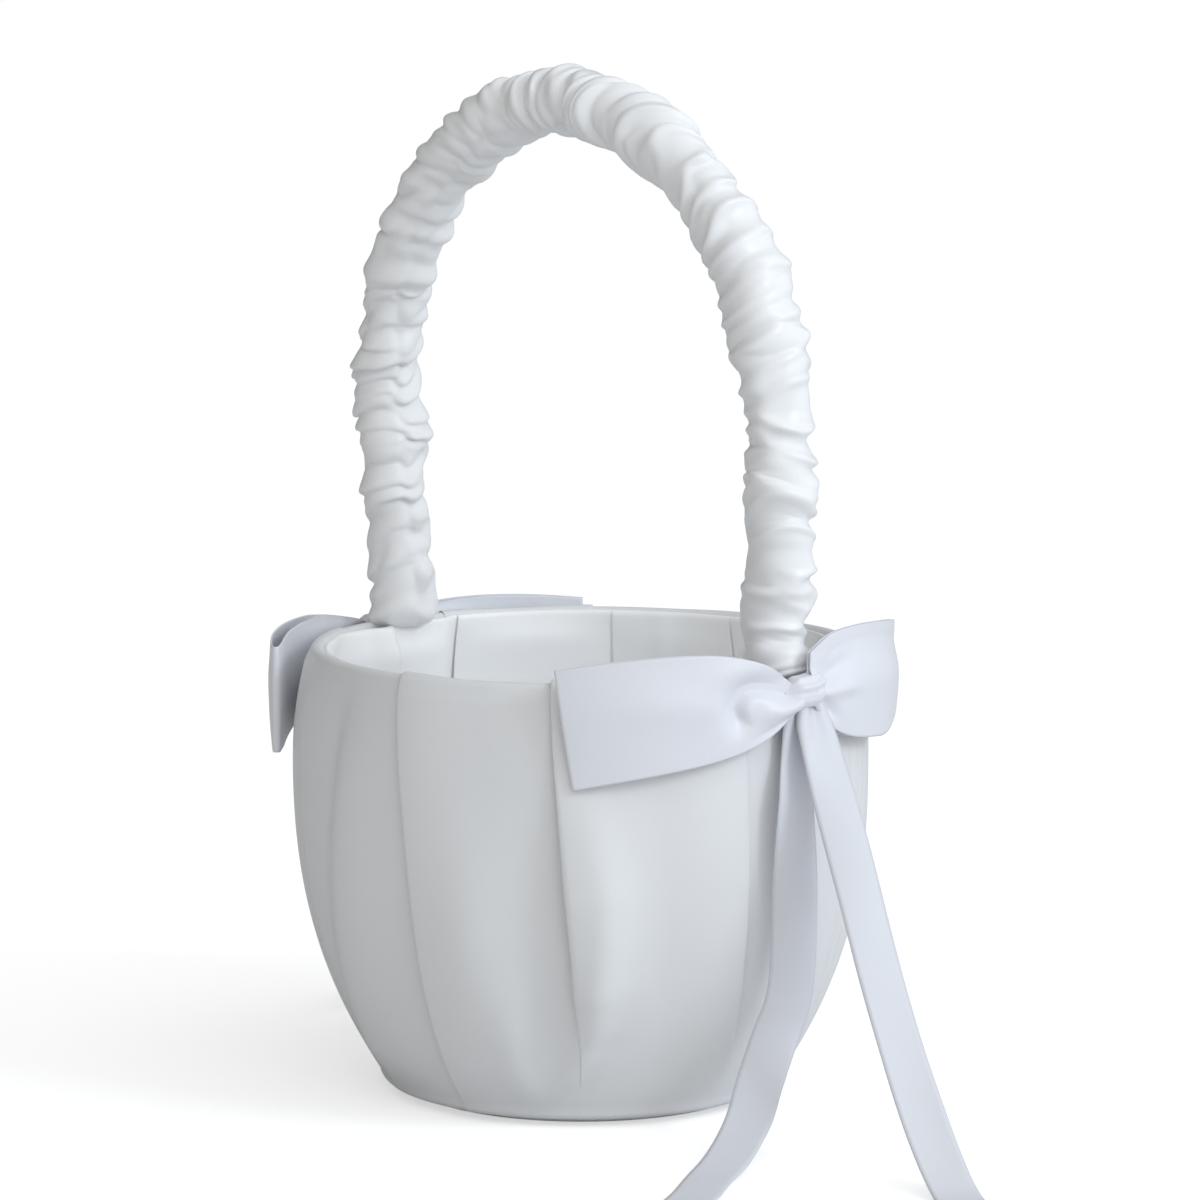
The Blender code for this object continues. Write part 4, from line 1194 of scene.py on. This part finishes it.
def build_floor():
    """A pale floor with soft shadows. The camera sees it brighter than it lights the basket."""
    nodes = Nodes("studio_floor")
    tree = nodes.tree
    place = nodes.add("ShaderNodeTexCoord").outputs["Object"]
    cloud = nodes.noise(place, 3.0)
    nodes.link(nodes.blend(cloud, (0.76, 0.76, 0.76), (0.78, 0.78, 0.78)), "Base Color")
    nodes.set(Roughness=0.9, Specular_IOR_Level=0.1)
    glow = nodes.add("ShaderNodeEmission", {"Color": (1, 1, 1, 1), "Strength": FLOOR_GLOW})
    shown = nodes.add("ShaderNodeAddShader", {0: nodes.shader.outputs[0], 1: glow.outputs[0]})
    seen = nodes.add("ShaderNodeLightPath").outputs["Is Camera Ray"]
    mix = nodes.add("ShaderNodeMixShader", {0: seen, 1: nodes.shader.outputs[0], 2: shown.outputs[0]})
    tree.links.new(mix.outputs[0], tree.nodes["Material Output"].inputs["Surface"])
    half = FLOOR_HALF_SIZE
    corners = np.array([[(-half, -half, 0), (half, -half, 0)], [(-half, half, 0), (half, half, 0)]], float)
    floor = grid_object("studio_floor", corners, nodes.material, corners[..., :2])


CAMERA_AZIMUTH = math.radians(42.0)
CAMERA_ELEVATION = math.radians(7.81)
CAMERA_DISTANCE = 1.0
CAMERA_LENS = 133.93
CAMERA_SENSOR = 36.0
AIM_HEIGHT = 0.10965
AIM_RIGHT = 0.00397
VIEW_RIGHT = Vector((math.cos(CAMERA_AZIMUTH), math.sin(CAMERA_AZIMUTH), 0.0))
VIEW_TOWARD = Vector((math.sin(CAMERA_AZIMUTH), -math.cos(CAMERA_AZIMUTH), 0.0))


def build_camera():
    """A camera at the photo's viewing angle, aimed near the basket's middle."""
    back = VIEW_TOWARD * math.cos(CAMERA_ELEVATION) + Vector((0, 0, math.sin(CAMERA_ELEVATION)))
    aim = Vector((0, 0, AIM_HEIGHT)) + VIEW_RIGHT * AIM_RIGHT
    camera = bpy.data.objects.new("camera", bpy.data.cameras.new("camera"))
    camera.data.lens = CAMERA_LENS
    camera.data.sensor_width = CAMERA_SENSOR
    camera.location = aim + back * CAMERA_DISTANCE
    camera.rotation_euler = (-back).to_track_quat("-Z", "Y").to_euler()
    bpy.context.scene.collection.objects.link(camera)
    bpy.context.scene.camera = camera


def build_light(name, right, toward, up, size, power, colour):
    """An area light that looks at the basket's middle. Its place is given as seen from the camera."""
    lamp = bpy.data.lights.new(name, "AREA")
    lamp.energy = power
    lamp.size = size
    lamp.color = colour
    light = bpy.data.objects.new(name, lamp)
    middle = Vector((0, 0, RIM_HEIGHT))
    light.location = middle + VIEW_RIGHT * right + VIEW_TOWARD * toward + Vector((0, 0, up))
    light.rotation_euler = (middle - light.location).to_track_quat("-Z", "Y").to_euler()
    bpy.context.scene.collection.objects.link(light)


# The light from all round: its level, what each way adds, its least strength, its colours left and right.
SKY_LEVEL = 0.60
SKY_UP = 0.10
SKY_RIGHT = 0.47
SKY_TOWARD = 0.42
SKY_LEAST = 0.02
SKY_LEFT_COLOUR = (1.0, 0.985, 0.945, 1)
SKY_RIGHT_COLOUR = (0.955, 0.985, 1.0, 1)


def build_world():
    """White behind the basket. What lights it comes most from the right and from the camera's side."""
    world = bpy.data.worlds.new("studio")
    world.use_nodes = True
    world.node_tree.nodes.clear()
    add = functools.partial(add_node, world.node_tree)
    direction = add("ShaderNodeTexCoord").outputs["Generated"]
    strength = SKY_LEVEL
    for way, share in ((Vector((0, 0, 1)), SKY_UP), (VIEW_RIGHT, SKY_RIGHT), (VIEW_TOWARD, SKY_TOWARD)):
        dot = add("ShaderNodeVectorMath", {0: direction, 1: way}, operation="DOT_PRODUCT").outputs["Value"]
        part = add("ShaderNodeMath", {0: dot, 1: share}, operation="MULTIPLY").outputs[0]
        strength = add("ShaderNodeMath", {0: part, 1: strength}, operation="ADD").outputs[0]
    strength = add("ShaderNodeMath", {0: strength, 1: SKY_LEAST}, operation="MAXIMUM").outputs[0]
    to_right = {0: direction, 1: VIEW_RIGHT}
    dot = add("ShaderNodeVectorMath", to_right, operation="DOT_PRODUCT").outputs["Value"]
    share = add("ShaderNodeMath", {0: dot, 1: 0.5, 2: 0.5}, operation="MULTIPLY_ADD").outputs[0]
    colours = {0: share, 6: SKY_LEFT_COLOUR, 7: SKY_RIGHT_COLOUR}
    tint = add("ShaderNodeMix", colours, data_type="RGBA").outputs[2]
    lit = add("ShaderNodeBackground", {"Color": tint, "Strength": strength})
    shown = add("ShaderNodeBackground", {"Color": (1, 1, 1, 1), "Strength": 1.0})
    seen = add("ShaderNodeLightPath").outputs["Is Camera Ray"]
    mix = add("ShaderNodeMixShader", {0: seen, 1: lit.outputs[0], 2: shown.outputs[0]})
    add("ShaderNodeOutputWorld", {"Surface": mix.outputs[0]})
    bpy.context.scene.world = world


bpy.context.scene.view_settings.view_transform = "Standard"
build_floor()
build_world()
build_light("key", right=0.95, toward=0.60, up=0.62, size=0.35, power=4.2, colour=(0.76, 0.88, 1.0))
build_camera()
